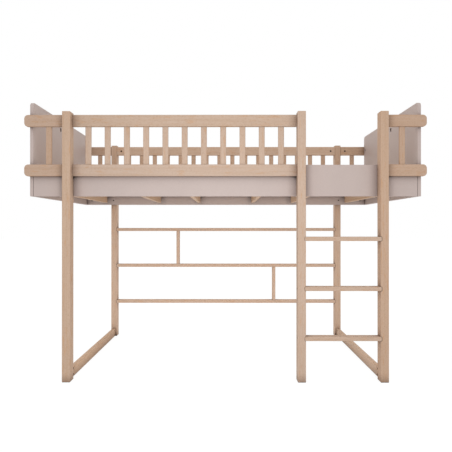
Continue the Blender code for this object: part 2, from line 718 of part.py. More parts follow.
for divider_name, divider_x, lower_bar in (("lower", DIVIDER_X, 0), ("upper", -DIVIDER_X, 1)):
    bottom = WALL_BAR_ZS[lower_bar] + half_bar + FIT_GAP
    top = WALL_BAR_ZS[lower_bar + 1] - half_bar - FIT_GAP
    bar(
        "wall_divider_" + divider_name,
        BEECH,
        "Z",
        (divider_x - half_bar, POST_INNER_Y, bottom),
        (divider_x + half_bar, wall_bar_back, top),
        WALL_BAR_EDGE,
        FIT_GAP,
    )


# Bed base: three plates side by side on the ledgers, each stiffened by two bearers that hang between them

for side, side_name in SIDE_NAMES.items():
    bar(
        side_name + "_ledger",
        BEECH,
        "X",
        (-BOARD_END_X, side * LEDGER_INNER_Y, LEDGER_BOTTOM),
        (BOARD_END_X, side * LEDGER_OUTER_Y, LEDGER_TOP),
        LEDGER_EDGE,
        LEDGER_EDGE,
        steps=1,
    )

plate_pitch = INNER_LENGTH / len(BASE_PLATE_NAMES)
half_length = (plate_pitch - BASE_PLATE_GAP) / 2
half_width = BOARD_INNER_Y - BOARD_END_GAP
bearer_reach = LEDGER_INNER_Y - BEARER_END_GAP
# The bearers stand under the bars between the outer slots and their neighbours
slot_pitch = SLOT_WIDTH + SLOT_BAR_WIDTH
bearer_offset = slot_pitch * (SLOTS_EACH_SIDE - 1)
for i, plate_name in enumerate(BASE_PLATE_NAMES):
    plate_x = (i - (len(BASE_PLATE_NAMES) - 1) / 2) * plate_pitch
    plate = bar(
        "base_plate_" + plate_name,
        PLYWOOD,
        "Z",
        (plate_x - half_length, -half_width, BASE_BOTTOM),
        (plate_x + half_length, half_width, BASE_TOP),
        BASE_PLATE_EDGE,
        BASE_PLATE_EDGE,
        steps=1,
    )
    slots = bmesh.new()
    for end, end_name in END_NAMES.items():
        for slot in range(SLOTS_EACH_SIDE):
            slot_x = plate_x + end * (slot_pitch * slot + slot_pitch / 2)
            low = (slot_x - SLOT_WIDTH / 2, SLOT_END_MARGIN - half_width, BASE_BOTTOM - CUT_OVERRUN)
            high = (slot_x + SLOT_WIDTH / 2, half_width - SLOT_END_MARGIN, BASE_TOP + CUT_OVERRUN)
            add_bar(slots, "Z", low, high, SLOT_WIDTH / 2, 0, 1, CORNER_STEPS)
        bearer_x = plate_x + end * bearer_offset
        bar(
            f"base_bearer_{plate_name}_{end_name}",
            BEECH,
            "Y",
            (bearer_x - BEARER_THICKNESS / 2, -bearer_reach, BOARD_BOTTOM + BEARER_LIFT),
            (bearer_x + BEARER_THICKNESS / 2, bearer_reach, BASE_BOTTOM - FIT_GAP),
            BEARER_EDGE,
            BEARER_EDGE,
            steps=1,
        )
    combine(plate, slots, "_slots")
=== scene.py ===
"""The looks of a mid-height loft bed in lacquered beech and painted board. Metres, Z up, and the
ladder on the -Y side."""
import math
import random

import bmesh
import bpy
import numpy as np
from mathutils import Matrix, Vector


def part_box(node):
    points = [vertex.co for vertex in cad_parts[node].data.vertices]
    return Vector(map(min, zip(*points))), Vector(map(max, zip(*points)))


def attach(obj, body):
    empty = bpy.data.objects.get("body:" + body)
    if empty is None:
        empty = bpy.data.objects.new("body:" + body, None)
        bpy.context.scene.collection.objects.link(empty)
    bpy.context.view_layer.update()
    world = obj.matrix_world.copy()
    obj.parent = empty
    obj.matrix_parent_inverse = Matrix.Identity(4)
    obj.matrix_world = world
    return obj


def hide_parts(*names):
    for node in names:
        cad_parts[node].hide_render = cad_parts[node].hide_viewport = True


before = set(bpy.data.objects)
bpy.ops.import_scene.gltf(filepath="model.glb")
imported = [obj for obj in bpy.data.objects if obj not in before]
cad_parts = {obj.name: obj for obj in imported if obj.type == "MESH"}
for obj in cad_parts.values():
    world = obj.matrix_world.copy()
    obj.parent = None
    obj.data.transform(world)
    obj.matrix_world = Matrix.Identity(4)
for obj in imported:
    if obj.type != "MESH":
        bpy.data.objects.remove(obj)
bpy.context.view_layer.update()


# The view of the photograph: a level camera in front of the middle of the bed, a little above
# half of the bed's height and turned by a fraction of a degree.

PHOTO_SIDE_PX = 452
FOCAL_LENGTH_PX = 462
SENSOR_WIDTH_MM = 36
CAMERA_PLACE = (0.0113, -2.9102, 0.8005)
CAMERA_TILT = 0.0019
CAMERA_TURN = 0.0031

camera_data = bpy.data.cameras.new("camera")
camera_data.sensor_width = SENSOR_WIDTH_MM
camera_data.lens = SENSOR_WIDTH_MM * FOCAL_LENGTH_PX / PHOTO_SIDE_PX
camera = bpy.data.objects.new("camera", camera_data)
camera.location = CAMERA_PLACE
camera.rotation_euler = (math.pi / 2 + CAMERA_TILT, 0, CAMERA_TURN)
bpy.context.scene.collection.objects.link(camera)
bpy.context.scene.camera = camera
bpy.context.scene.view_settings.view_transform = "Standard"


# The studio: a white room with a pale matt floor, a small soft box in front of the bed and a weak
# one under it, which lightens the wall side. The floor shows white where nothing shades it, and
# keeps a faint shadow under the bed.

ROOM_LIGHT = 0.878
ROOM_SHOWN_LIGHT = 1.0
ROOM_COLOUR = (1, 1, 1, 1)
SOFT_BOXES = {
    "key_box": {"size": (0.9, 0.7), "place": (0, -1.7, 0.9), "power": 4.97},
    "fill_box": {"size": (1.56, 0.8), "place": (0, -0.43, 0.45), "power": 2.05},
}
FLOOR_RADIUS = 30
FLOOR_SIDES = 64
FLOOR_COLOUR = (0.8, 0.8, 0.8, 1)
FLOOR_OWN_LIGHT = 1.1
FLOOR_SHADOW_SHARE = 0.16


def add(tree, kind, inputs=None, **settings):
    """Adds a node with its settings. Each input, by name or number, gets a value, an output that
    is linked to it, or a list of such outputs."""
    made = tree.nodes.new(kind)
    for setting, value in settings.items():
        setattr(made, setting, value)
    for key, value in (inputs or {}).items():
        sources = value if isinstance(value, list) else [value]
        for source in sources:
            if isinstance(source, bpy.types.NodeSocket):
                tree.links.new(source, made.inputs[key])
            else:
                made.inputs[key].default_value = source
    return made.outputs[0] if made.outputs else made


def seen_directly(tree):
    """1 for what the camera sees, itself or in gloss or glass, and 0 for the light on the bed."""
    path = add(tree, "ShaderNodeLightPath").node.outputs
    seen = add(tree, "ShaderNodeMath", {0: path["Is Camera Ray"], 1: path["Is Glossy Ray"]})
    inputs = {0: seen, 1: path["Is Transmission Ray"]}
    return add(tree, "ShaderNodeMath", inputs, use_clamp=True)


room = bpy.data.worlds.new("white_room")
room.use_nodes = True
tree = room.node_tree
tree.nodes.clear()
inputs = {"Value": seen_directly(tree), "To Min": ROOM_LIGHT, "To Max": ROOM_SHOWN_LIGHT}
light = add(tree, "ShaderNodeMapRange", inputs)
background = add(tree, "ShaderNodeBackground", {"Color": ROOM_COLOUR, "Strength": light})
add(tree, "ShaderNodeOutputWorld", {"Surface": background})
bpy.context.scene.world = room

for box_name, box in SOFT_BOXES.items():
    box_data = bpy.data.lights.new(box_name, "AREA")
    box_data.shape = "RECTANGLE"
    box_data.size, box_data.size_y = box["size"]
    box_data.energy = box["power"]
    soft_box = bpy.data.objects.new(box_name, box_data)
    soft_box.location = box["place"]
    soft_box.rotation_euler = (math.pi / 2, 0, 0)
    soft_box.visible_camera = False
    bpy.context.scene.collection.objects.link(soft_box)

# The camera sees mostly the floor's own light, so that little of the shadow on it shows
studio_floor = bpy.data.materials.new("matt_white_studio_floor")
studio_floor.use_nodes = True
tree = studio_floor.node_tree
tree.nodes.clear()
matt = add(tree, "ShaderNodeBsdfDiffuse", {"Color": FLOOR_COLOUR})
glow = add(tree, "ShaderNodeEmission", {"Strength": FLOOR_OWN_LIGHT})
inputs = {0: seen_directly(tree), 1: 1 - FLOOR_SHADOW_SHARE}
share = add(tree, "ShaderNodeMath", inputs, operation="MULTIPLY")
shade = add(tree, "ShaderNodeMixShader", {0: share, 1: matt, 2: glow})
add(tree, "ShaderNodeOutputMaterial", {"Surface": shade})

floor_mesh = bpy.data.meshes.new("floor")
shape = bmesh.new()
bmesh.ops.create_circle(shape, cap_ends=True, segments=FLOOR_SIDES, radius=FLOOR_RADIUS)
shape.to_mesh(floor_mesh)
shape.free()
floor_mesh.materials.append(studio_floor)
floor = bpy.data.objects.new("floor", floor_mesh)
bpy.context.scene.collection.objects.link(floor)


# Five posts of solid beech, 42 x 57 mm, planed, lacquered and rounded over on every edge. The
# rungs and wall bars are let into notches in them, and bolts come through from their outer
# sides. The middle and right front posts are the stiles of the ladder.

POST_EDGE = 0.003
LET_IN_CORNER = 0.005
NOTCH_GAP = 0.0014
NOTCH_OVERRUN = 0.002
END_BOLT_SINK = (0.0116, 0.0075)

# Each post has its own timber. The two back posts are painted paler, as painted light for the
# back of the bed, which gets less light. Of the three in front, the middle one is the palest,
# partly its own timber and partly a painted sheen of the soft box in its lacquer.
POST_TIMBERS_AND_PAINTED_LIGHT = {
    "front_left_post": "CEB29B",
    "front_middle_post": "CEB5A2",
    "front_right_post": "CBAD95",
    "back_left_post": "D8BCA6",
    "back_right_post": "D4B8A2",
}
# The stiles, with the way that the outer side of each looks along X
STILES = {"front_middle_post": -1, "front_right_post": 1}
RUNG_NAMES = ("ladder_rung_bottom", "ladder_rung_middle", "ladder_rung_top")
WALL_BAR_NAMES = ("wall_bar_bottom", "wall_bar_middle", "wall_bar_top")


def colour(hex_colour):
    """An sRGB hex colour as linear values, with full alpha."""
    channels = [int(hex_colour[i : i + 2], 16) / 255 for i in (0, 2, 4)]
    linear = [c / 12.92 if c <= 0.04045 else ((c + 0.055) / 1.055) ** 2.4 for c in channels]
    return (*linear, 1)


def new_material(name):
    made = bpy.data.materials.new(name)
    made.use_nodes = True
    made.node_tree.nodes.clear()
    return made


MM_PER_M = 1000


def blotches(tree, places, sizes_mm, low=0.0, high=1.0, detail=2.0, roughness=0.5, offset=0.0):
    """Blotches of about these sizes, in millimetres, along the three axes of the places: 0 where
    the noise that makes them is under low, and 1 where it is over high. Different offsets keep
    two kinds of blotch apart."""
    scale = tuple(MM_PER_M / size for size in sizes_mm)
    inputs = {"Vector": places, "Location": (offset,) * 3, "Scale": scale}
    mapped = add(tree, "ShaderNodeMapping", inputs)
    inputs = {"Vector": mapped, "Scale": 1.0, "Detail": detail, "Roughness": roughness}
    noise = add(tree, "ShaderNodeTexNoise", inputs)
    return add(tree, "ShaderNodeMapRange", {"Value": noise, "From Min": low, "From Max": high})


def stained_and_shaded(tree, body, *stains_and_shades):
    """A colour with stains and painted shade on it, one after another. Each is where it lies, from
    0 to 1, the tint by which it multiplies the colour, and how much of that tint there is."""
    for where, tint, strength in stains_and_shades:
        share = add(tree, "ShaderNodeMath", {0: where, 1: strength}, operation="MULTIPLY")
        # Of a colour mix, inputs 6 and 7 are the two colours and output 2 is the result
        inputs = {0: share, 6: body, 7: colour(tint)}
        mix = add(tree, "ShaderNodeMix", inputs, data_type="RGBA", blend_type="MULTIPLY")
        body = mix.node.outputs[2]
    return body


# Inner corners are painted a little darker, as painted shade. The wall of a hole is painted
# nearly black, as painted shade, where it is more shut in than an inner corner is.
CORNER_REACH = 0.05
CORNER_SAMPLES = 8
CORNER_PAINTED_SHADE = ("7C6966", 1.0)
HOLE_SHARES = {"From Min": 0.5, "From Max": 0.68}
HOLE_PAINTED_SHADE = ("332A26", 1.0)


def shut_in(tree):
    """1 in a narrow gap, a half in a square inner corner, and 0 on an open face."""
    inputs = {"Distance": CORNER_REACH}
    node = add(tree, "ShaderNodeAmbientOcclusion", inputs, samples=CORNER_SAMPLES).node
    return add(tree, "ShaderNodeMath", {0: 1.0, 1: node.outputs["AO"]}, operation="SUBTRACT")


# What shows in the beech: sizes in millimetres along, across and through the grain, and stains
GROWTH_LINES = {"sizes_mm": (420, 5, 8), "low": 0.40, "high": 0.64, "detail": 3, "roughness": 0.6}
GROWTH_LINE_STAIN = ("EBE0D2", 0.35)
STREAKS = {"sizes_mm": (60, 9, 13), "low": 0.56, "high": 0.72, "offset": 31}
STREAK_STAIN = ("FDE2C0", 0.5)
FLECKS = {"sizes_mm": (9, 2.2, 2.8), "low": 0.50, "high": 0.72, "roughness": 0.65, "offset": 57}
FLECK_STAIN = ("D8C8B9", 0.5)
PORES = {"sizes_mm": (5, 0.6, 0.6), "detail": 1, "offset": 83}
END_GRAIN_SHARES = {"From Min": 0.5}
END_GRAIN_STAIN = ("D2BFAA", 0.35)
LACQUER_ROUGHNESS = {"To Min": 0.64, "To Max": 0.74}
LACQUER_OPTICS = {"IOR": 1.45, "Specular IOR Level": 0.3}
GROWTH_LINE_RELIEF = 0.3
BEECH_RELIEF = {"Strength": 0.25, "Distance": 0.00025}


def lacquered_beech():
    """Steamed beech under matt clear lacquer: pale and even, with short dark ray flecks, faint
    long growth lines and soft warm streaks, all as tints of each piece's own colour. The flecks
    are 1 to 2 mm on the real wood and drawn 3 times that, so that they show."""
    made = new_material("beech_matt_clear_lacquer")
    tree = made.node_tree
    grain = add(tree, "ShaderNodeAttribute", attribute_name="grain").node.outputs["Vector"]
    timber = add(tree, "ShaderNodeAttribute", attribute_name="timber").node.outputs["Color"]
    end = add(tree, "ShaderNodeAttribute", attribute_name="end_grain").node.outputs["Fac"]
    end = add(tree, "ShaderNodeMapRange", {"Value": end, **END_GRAIN_SHARES})
    lines = blotches(tree, grain, **GROWTH_LINES)
    streaks = blotches(tree, grain, **STREAKS)
    flecks = blotches(tree, grain, **FLECKS)
    pores = blotches(tree, grain, **PORES)
    # Painted shade: the colour darkens in inner corners and goes nearly black on the walls of holes
    corner = shut_in(tree)
    hole = add(tree, "ShaderNodeMapRange", {"Value": corner, **HOLE_SHARES})
    body = stained_and_shaded(tree, timber, (lines, *GROWTH_LINE_STAIN), (streaks, *STREAK_STAIN),
                   (flecks, *FLECK_STAIN), (end, *END_GRAIN_STAIN), (corner, *CORNER_PAINTED_SHADE),
                   (hole, *HOLE_PAINTED_SHADE))
    gloss = add(tree, "ShaderNodeMapRange", {"Value": flecks, **LACQUER_ROUGHNESS})
    inputs = {0: lines, 1: GROWTH_LINE_RELIEF, 2: pores}
    relief = add(tree, "ShaderNodeMath", inputs, operation="MULTIPLY_ADD")
    bump = add(tree, "ShaderNodeBump", {"Height": relief, **BEECH_RELIEF})
    inputs = {"Base Color": body, "Roughness": gloss, "Normal": bump, **LACQUER_OPTICS}
    shader = add(tree, "ShaderNodeBsdfPrincipled", inputs)
    add(tree, "ShaderNodeOutputMaterial", {"Surface": shader})
    return made


# How finely round edges, round corners and round holes are drawn
ROUND_STEPS = 5
CORNER_STEPS = 10
HOLE_SIDES = 32
MERGE_DISTANCE = 1e-6

# Along each axis: the number of that axis and those of the two across it
AXES = {"X": (0, 1, 2), "Y": (1, 2, 0), "Z": (2, 0, 1)}


def rounded_rectangle(low, high, radii, steps, inset):
    """Anticlockwise points of a rectangle with a radius at each corner, drawn in all round by
    inset."""
    corners = ((high[0], low[1], -1), (high[0], high[1], 0),
               (low[0], high[1], 1), (low[0], low[1], 2))
    points = []
    for (u, v, quarter), radius in zip(corners, radii):
        left = max(radius - inset, 0)
        centre_u = u + (-1 if u == high[0] else 1) * (inset + left)
        centre_v = v + (-1 if v == high[1] else 1) * (inset + left)
        for step in range(steps + 1):
            angle = (quarter + step / steps) * math.pi / 2
            points.append((centre_u + left * math.cos(angle), centre_v + left * math.sin(angle)))
    return points


def new_object(name, shape):
    """Makes an object of a bmesh at the origin, with its doubles merged and its faces outwards."""
    bmesh.ops.remove_doubles(shape, verts=shape.verts, dist=MERGE_DISTANCE)
    bmesh.ops.recalc_face_normals(shape, faces=shape.faces)
    mesh = bpy.data.meshes.new(name)
    shape.to_mesh(mesh)
    shape.free()
    made = bpy.data.objects.new(name, mesh)
    bpy.context.scene.collection.objects.link(made)
    return made


def bar(name, axis, low, high, corner, rim, corner_steps=ROUND_STEPS):
    """A bar along an axis that fills the box from low to high. Its long edges are rounded by
    corner, which is one radius or one for each corner of its section, and the edges of its two
    ends by rim."""
    along, first, second = AXES[axis]
    radii = corner if isinstance(corner, tuple) else (corner,) * 4
    section = (low[first], low[second]), (high[first], high[second])
    turns = [step / ROUND_STEPS * math.pi / 2 for step in range(ROUND_STEPS + 1)]
    rounding = [(rim * (1 - math.cos(turn)), rim * (1 - math.sin(turn))) for turn in turns]
    rings = [(low[along] + depth, inset) for depth, inset in rounding]
    rings += [(high[along] - depth, inset) for depth, inset in reversed(rounding)]
    shape = bmesh.new()
    loops = []
    for position, inset in rings:
        loop = []
        for u, v in rounded_rectangle(*section, radii, corner_steps, inset):
            place = [0, 0, 0]
            place[first], place[second], place[along] = u, v, position
            loop.append(shape.verts.new(place))
        loops.append(loop)
    for lower, upper in zip(loops, loops[1:]):
        for i in range(len(lower)):
            j = (i + 1) % len(lower)
            shape.faces.new((lower[i], lower[j], upper[j], upper[i]))
    shape.faces.new(loops[0][::-1])
    shape.faces.new(loops[-1])
    return new_object(name, shape)


def settle(piece):
    """Puts what a piece's modifiers make into its own mesh, and takes the modifiers off."""
    evaluated = piece.evaluated_get(bpy.context.evaluated_depsgraph_get())
    mesh = bpy.data.meshes.new_from_object(evaluated)
    mesh.name = piece.name
    piece.modifiers.clear()
    piece.data = mesh


def cut(piece, *cutters):
    """Cuts other objects out of a piece, and deletes them."""
    for cutter in cutters:
        modifier = piece.modifiers.new("cut", "BOOLEAN")
        modifier.operation = "DIFFERENCE"
        modifier.solver = "EXACT"
        modifier.object = cutter
    settle(piece)
    for cutter in cutters:
        bpy.data.objects.remove(cutter)


SMOOTH_ANGLE = math.radians(32)
FLAT_FACE_WEIGHT = 90


def polish(piece):
    """Shades a piece's round edges smooth and keeps its flat faces flat."""
    piece.data.shade_smooth()
    piece.data.set_sharp_from_angle(angle=SMOOTH_ANGLE)
    modifier = piece.modifiers.new("flat_faces", "WEIGHTED_NORMAL")
    modifier.keep_sharp = True
    modifier.weight = FLAT_FACE_WEIGHT
    settle(piece)


LOG_STEP = 3.7
TIMBER_SPREAD = 0.015
TIMBER_SEED = 7

timber = {"count": 0, "random": random.Random(TIMBER_SEED)}
BEECH = lacquered_beech()


def grow(piece, axis, timber_and_painted_light):
    """Gives a piece its own place in the log, with the grain along its axis, and its own colour.
    Its end grain is where its faces look along that axis."""
    mesh = piece.data
    along, first, second = AXES[axis]
    timber["count"] += 1
    places = np.empty(len(mesh.vertices) * 3, np.float32)
    mesh.vertices.foreach_get("co", places)
    places = places.reshape(-1, 3)[:, (along, first, second)] + LOG_STEP * timber["count"]
    grain = mesh.attributes.new("grain", "FLOAT_VECTOR", "POINT")
    grain.data.foreach_set("vector", places.ravel())
    normals = np.empty(len(mesh.loops) * 3, np.float32)
    mesh.corner_normals.foreach_get("vector", normals)
    ends = np.abs(normals.reshape(-1, 3)[:, along])
    mesh.attributes.new("end_grain", "FLOAT", "CORNER").data.foreach_set("value", ends)
    lightness = 1 + timber["random"].uniform(-TIMBER_SPREAD, TIMBER_SPREAD)
    own = np.array(colour(timber_and_painted_light), np.float32) * (lightness, lightness, lightness, 1)
    colours = np.tile(own.astype(np.float32), len(mesh.vertices))
    mesh.attributes.new("timber", "FLOAT_COLOR", "POINT").data.foreach_set("color", colours)


def stand_in(piece, slot, *nodes):
    """A finished piece rides on the bed and stands for its nodes."""
    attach(piece, "root")
    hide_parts(*nodes)


def beech_piece(piece, axis, timber_and_painted_light):
    """Finishes a piece as lacquered beech that stands for the node that it is named after."""
    polish(piece)
    grow(piece, axis, timber_and_painted_light)
    piece.data.materials.clear()
    piece.data.materials.append(BEECH)
    stand_in(piece, "beech", piece.name.removesuffix("_wood"))


def facing_points(name, spots):
    """Loose points, one at each spot, which is a place and the way that its face looks."""
    mesh = bpy.data.meshes.new(name)
    mesh.from_pydata([place for place, _ in spots], [], [])
    facing = mesh.attributes.new("facing", "FLOAT_VECTOR", "POINT")
    facing.data.foreach_set("vector", [number for _, way in spots for number in way])
    made = bpy.data.objects.new(name, mesh)
    bpy.context.scene.collection.objects.link(made)
    return made


def new_tree(name, inputs):
    """A geometry node group that takes and gives geometry, with named inputs."""
    made = bpy.data.node_groups.new(name, "GeometryNodeTree")
    new_socket = made.interface.new_socket
    new_socket("Geometry", in_out="INPUT", socket_type="NodeSocketGeometry")
    for socket_name, kind in inputs.items():
        new_socket(socket_name, in_out="INPUT", socket_type="NodeSocket" + kind)
    new_socket("Geometry", in_out="OUTPUT", socket_type="NodeSocketGeometry")
    return made, add(made, "NodeGroupInput").node.outputs


def apply_tree(piece, group, values):
    """Runs a piece through a node group, with its inputs set by their names."""
    modifier = piece.modifiers.new(group.name, "NODES")
    modifier.node_group = group
    for item in group.interface.items_tree:
        if item.in_out == "INPUT" and item.name in values:
            modifier[item.identifier] = values[item.name]
    settle(piece)


def lowered(tree, geometry, depth):
    """What a tree has made, moved down by a depth."""
    down = add(tree, "ShaderNodeMath", {0: depth, 1: -1.0}, operation="MULTIPLY")
    down = add(tree, "ShaderNodeCombineXYZ", {"Z": down})
    return add(tree, "GeometryNodeTransform", {"Geometry": geometry, "Translation": down})


# A round flat-bottomed hole with a slightly broken rim, bored in at each point
DRILL, given = new_tree("bored holes", {
    "Places": "Object", "Diameter": "Float", "Depth": "Float", "Rim": "Float", "Sides": "Int",
})
half = add(DRILL, "ShaderNodeMath", {0: given["Diameter"], 1: 0.5}, operation="MULTIPLY")
wide = add(DRILL, "ShaderNodeMath", {0: half, 1: given["Rim"]}, operation="ADD")
wider = add(DRILL, "ShaderNodeMath", {0: wide, 1: given["Rim"]}, operation="ADD")
twice = add(DRILL, "ShaderNodeMath", {0: given["Depth"], 1: 2.0}, operation="MULTIPLY")
rim_twice = add(DRILL, "ShaderNodeMath", {0: given["Rim"], 1: 2.0}, operation="MULTIPLY")
inputs = {"Vertices": given["Sides"], "Radius": half, "Depth": twice}
bore = add(DRILL, "GeometryNodeMeshCylinder", inputs)
# The rim's cone narrows inwards. Its narrow end is one rim deep, its wide end one rim outside.
inputs = {"Vertices": given["Sides"], "Radius Top": wider, "Radius Bottom": half,
          "Depth": rim_twice}
cone = add(DRILL, "GeometryNodeMeshCone", inputs)
cone = lowered(DRILL, cone, given["Rim"])
inputs = {"Mesh 2": [bore, cone]}
tool = add(DRILL, "GeometryNodeMeshBoolean", inputs, operation="UNION", solver="EXACT")
places = add(DRILL, "GeometryNodeObjectInfo", {"Object": given["Places"]}).node
inputs = {"Name": "facing"}
facing = add(DRILL, "GeometryNodeInputNamedAttribute", inputs, data_type="FLOAT_VECTOR")
turned = add(DRILL, "FunctionNodeAlignRotationToVector", {"Vector": facing}, axis="Z")
inputs = {"Points": places.outputs["Geometry"], "Instance": tool, "Rotation": turned}
tools = add(DRILL, "GeometryNodeInstanceOnPoints", inputs)
tools = add(DRILL, "GeometryNodeRealizeInstances", {"Geometry": tools})
inputs = {"Mesh 1": given["Geometry"], "Mesh 2": tools}
bored = add(DRILL, "GeometryNodeMeshBoolean", inputs, operation="DIFFERENCE", solver="EXACT")
add(DRILL, "NodeGroupOutput", {"Geometry": bored})

HOLE_RIM = 0.0004


def drill(piece, spots, diameter, depth, rim=HOLE_RIM):
    """Bores a hole at each spot."""
    places = facing_points("drill_places", spots)
    apply_tree(piece, DRILL, {"Places": places, "Diameter": diameter, "Depth": depth, "Rim": rim,
                              "Sides": HOLE_SIDES})
    bpy.data.objects.remove(places)


def notch_cutter(name):
    """A cutter of a rung's or wall bar's shape, larger by the gap round it, open to the front."""
    low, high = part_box(name)
    gap = Vector((NOTCH_GAP,) * 3)
    low, high = low - gap, high + gap
    low.y -= NOTCH_OVERRUN
    return bar("notch", "Y", low, high, LET_IN_CORNER + NOTCH_GAP, 0)


def middle(name):
    low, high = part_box(name)
    return (low + high) / 2


end_bolt_spots = []
for name, timber_and_painted_light in POST_TIMBERS_AND_PAINTED_LIGHT.items():
    low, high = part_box(name)
    post = bar(name + "_wood", "Z", low, high, POST_EDGE, POST_EDGE)
    is_back = name.startswith("back")
    let_in = WALL_BAR_NAMES if is_back else RUNG_NAMES if name in STILES else ()
    if let_in:
        cut(post, *(notch_cutter(each) for each in let_in))
        outwards = math.copysign(1, low.x) if is_back else STILES[name]
        face = high.x if outwards > 0 else low.x
        spots = [((face, middle(each).y, middle(each).z), (outwards, 0, 0)) for each in let_in]
        drill(post, spots, *END_BOLT_SINK)
        end_bolt_spots += spots
    beech_piece(post, "Z", timber_and_painted_light)


# Three ladder rungs of solid beech, 22 x 44 mm, flush with the front of the stiles. Their edges
# are rounded over, and a bolt through each stile pulls them tight into the notches.

RUNG_RIM = 0.002
RUNG_TIMBER = "CDB39F"

for name in RUNG_NAMES:
    rung = bar(name + "_wood", "Y", *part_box(name), LET_IN_CORNER, RUNG_RIM)
    beech_piece(rung, "X", RUNG_TIMBER)


# Two foot stretchers of solid beech between the front and back posts, held by studs with barrel
# nuts, which show as two small holes near each end of the inner face.

STRETCHER_EDGE = 0.003
STRETCHER_NUT_INSET = 0.0307
STRETCHER_NUT_PITCH = 0.032
STRETCHER_NUT_HOLE = (0.012, 0.018)
STRETCHER_TIMBERS = {"left": "D0B196", "right": "D4B9A2"}

nut_spots = []
for end_name, inwards in (("left", 1), ("right", -1)):
    name = "foot_stretcher_" + end_name
    low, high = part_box(name)
    stretcher = bar(name + "_wood", "Y", low, high, STRETCHER_EDGE, 0)
    face = high.x if inwards > 0 else low.x
    spots = []
    for y in (low.y + STRETCHER_NUT_INSET, high.y - STRETCHER_NUT_INSET):
        for side in (-1, 1):
            z = (low.z + high.z + side * STRETCHER_NUT_PITCH) / 2
            spots.append(((face, y, z), (inwards, 0, 0)))
    drill(stretcher, spots, *STRETCHER_NUT_HOLE)
    nut_spots += spots
    beech_piece(stretcher, "Y", STRETCHER_TIMBERS[end_name])


# Guard rails of solid beech, 19 x 62 mm, in three lengths at each level: the main one between two
# posts and an end piece with a rounded end outside each corner post. Barrel nuts on their bed
# side hold the studs.

RAIL_EDGE = 0.003
RAIL_END_CORNER = 0.020
RAIL_NUT_INSET = 0.0307
RAIL_NUT_HOLE = (0.012, 0.0165)
# The back rails are painted paler than the front ones, as painted light for the back of the bed
RAIL_TIMBERS_AND_PAINTED_LIGHT = {
    "front_upper_rail": "CBB29E",
    "front_lower_rail": "CDB5A3",
    "back_upper_rail": "DCC1AC",
    "back_lower_rail": "D3B6A0",
}
# The back right end piece is painted paler than the others, as painted light
END_PIECE_TIMBERS_AND_PAINTED_LIGHT = {
    "front_left_end": "C9AD98",
    "front_right_end": "C9AB94",
    "back_left_end": "C9AD98",
    "back_right_end": "D1B39B",
}

for side_name, inwards in (("front", 1), ("back", -1)):
    for level in ("lower", "upper"):
        rail_name = f"{side_name}_{level}_rail"
        end_low, end_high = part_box(rail_name + "_left_end")
        for ending in ("", "_left_end", "_right_end"):
            name = rail_name + ending
            low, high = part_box(name)
            if ending:
                at_low = RAIL_END_CORNER if ending == "_left_end" else 0
                at_high = RAIL_END_CORNER - at_low
                radii = (at_low, at_high, at_high, at_low)
                rail = bar(name + "_wood", "Y", low, high, radii, RAIL_EDGE, CORNER_STEPS)
                nut_xs = (low.x + RAIL_NUT_INSET if at_high else high.x - RAIL_NUT_INSET,)
                timber_and_painted_light = END_PIECE_TIMBERS_AND_PAINTED_LIGHT[side_name + ending]
            else:
                # The back lower rail's node holds the back balusters too, so its box is higher
                high.z = low.z + (end_high - end_low).z
                rail = bar(name + "_wood", "X", low, high, RAIL_EDGE, 0)
                nut_xs = (low.x + RAIL_NUT_INSET, high.x - RAIL_NUT_INSET)
                timber_and_painted_light = RAIL_TIMBERS_AND_PAINTED_LIGHT[rail_name]
            face = high.y if inwards > 0 else low.y
            spots = [((x, face, (low.z + high.z) / 2), (0, inwards, 0)) for x in nut_xs]
            drill(rail, spots, *RAIL_NUT_HOLE)
            nut_spots += spots
            beech_piece(rail, "X", timber_and_painted_light)


# Balusters of solid beech, 12 x 31 mm with rounded edges, tenoned into both rails: eleven in the
# front guard, sixteen in the back one and one in each end section.

BALUSTER_EDGE = 0.004
TENON_SIZE = (0.021, 0.006, 0.008)
FRONT_COUNT = 11
BACK_COUNT = 16
BACK_MARGIN = 0.0857
BALUSTER_SPREAD = 0.03
LOG_SIZE = (30, 30, 30)
FRONT_BALUSTER_TIMBER = "CCB3A0"
FRONT_END_BALUSTER_TIMBER = "C9AB94"
# The back balusters are painted paler, as painted light for the back of the bed
BACK_BALUSTER_TIMBER_AND_PAINTED_LIGHT = "D3B6A0"

# An upright bar with rounded long edges, which stands on the origin
PRISM, given = new_tree("rounded prism", {
    "Width": "Float", "Thickness": "Float", "Height": "Float", "Edge radius": "Float",
    "Edge steps": "Int",
})
inputs = {"Width": given["Width"], "Height": given["Thickness"]}
outline = add(PRISM, "GeometryNodeCurvePrimitiveQuadrilateral", inputs)
inputs = {"Curve": outline, "Count": given["Edge steps"], "Radius": given["Edge radius"]}
outline = add(PRISM, "GeometryNodeFilletCurve", inputs, mode="POLY")
foot = add(PRISM, "GeometryNodeFillCurve", {"Curve": outline}, mode="NGONS")
inputs = {"Mesh": foot, "Offset": (0, 0, 1), "Offset Scale": given["Height"], "Individual": False}
shaft = add(PRISM, "GeometryNodeExtrudeMesh", inputs)
foot = add(PRISM, "GeometryNodeFlipFaces", {"Mesh": foot})
both = add(PRISM, "GeometryNodeJoinGeometry", {"Geometry": [shaft, foot]})
inputs = {"Geometry": both, "Distance": MERGE_DISTANCE}
whole = add(PRISM, "GeometryNodeMergeByDistance", inputs)
add(PRISM, "NodeGroupOutput", {"Geometry": whole})

# A row of such bars with tenons, each of its own timber, added to the balusters made before it
GUARD, given = new_tree("baluster row", {
    "First": "Vector", "Last": "Vector", "Count": "Int", "Width": "Float", "Thickness": "Float",
    "Height": "Float", "Edge radius": "Float", "Edge steps": "Int", "Tenon": "Vector",
    "Timber": "Color", "Timber spread": "Float", "Seed": "Int", "Wood": "Material",
})
inputs = {"Width": given["Width"], "Thickness": given["Thickness"], "Height": given["Height"],
          "Edge radius": given["Edge radius"], "Edge steps": given["Edge steps"]}
shaft = add(GUARD, "GeometryNodeGroup", inputs, node_tree=PRISM)
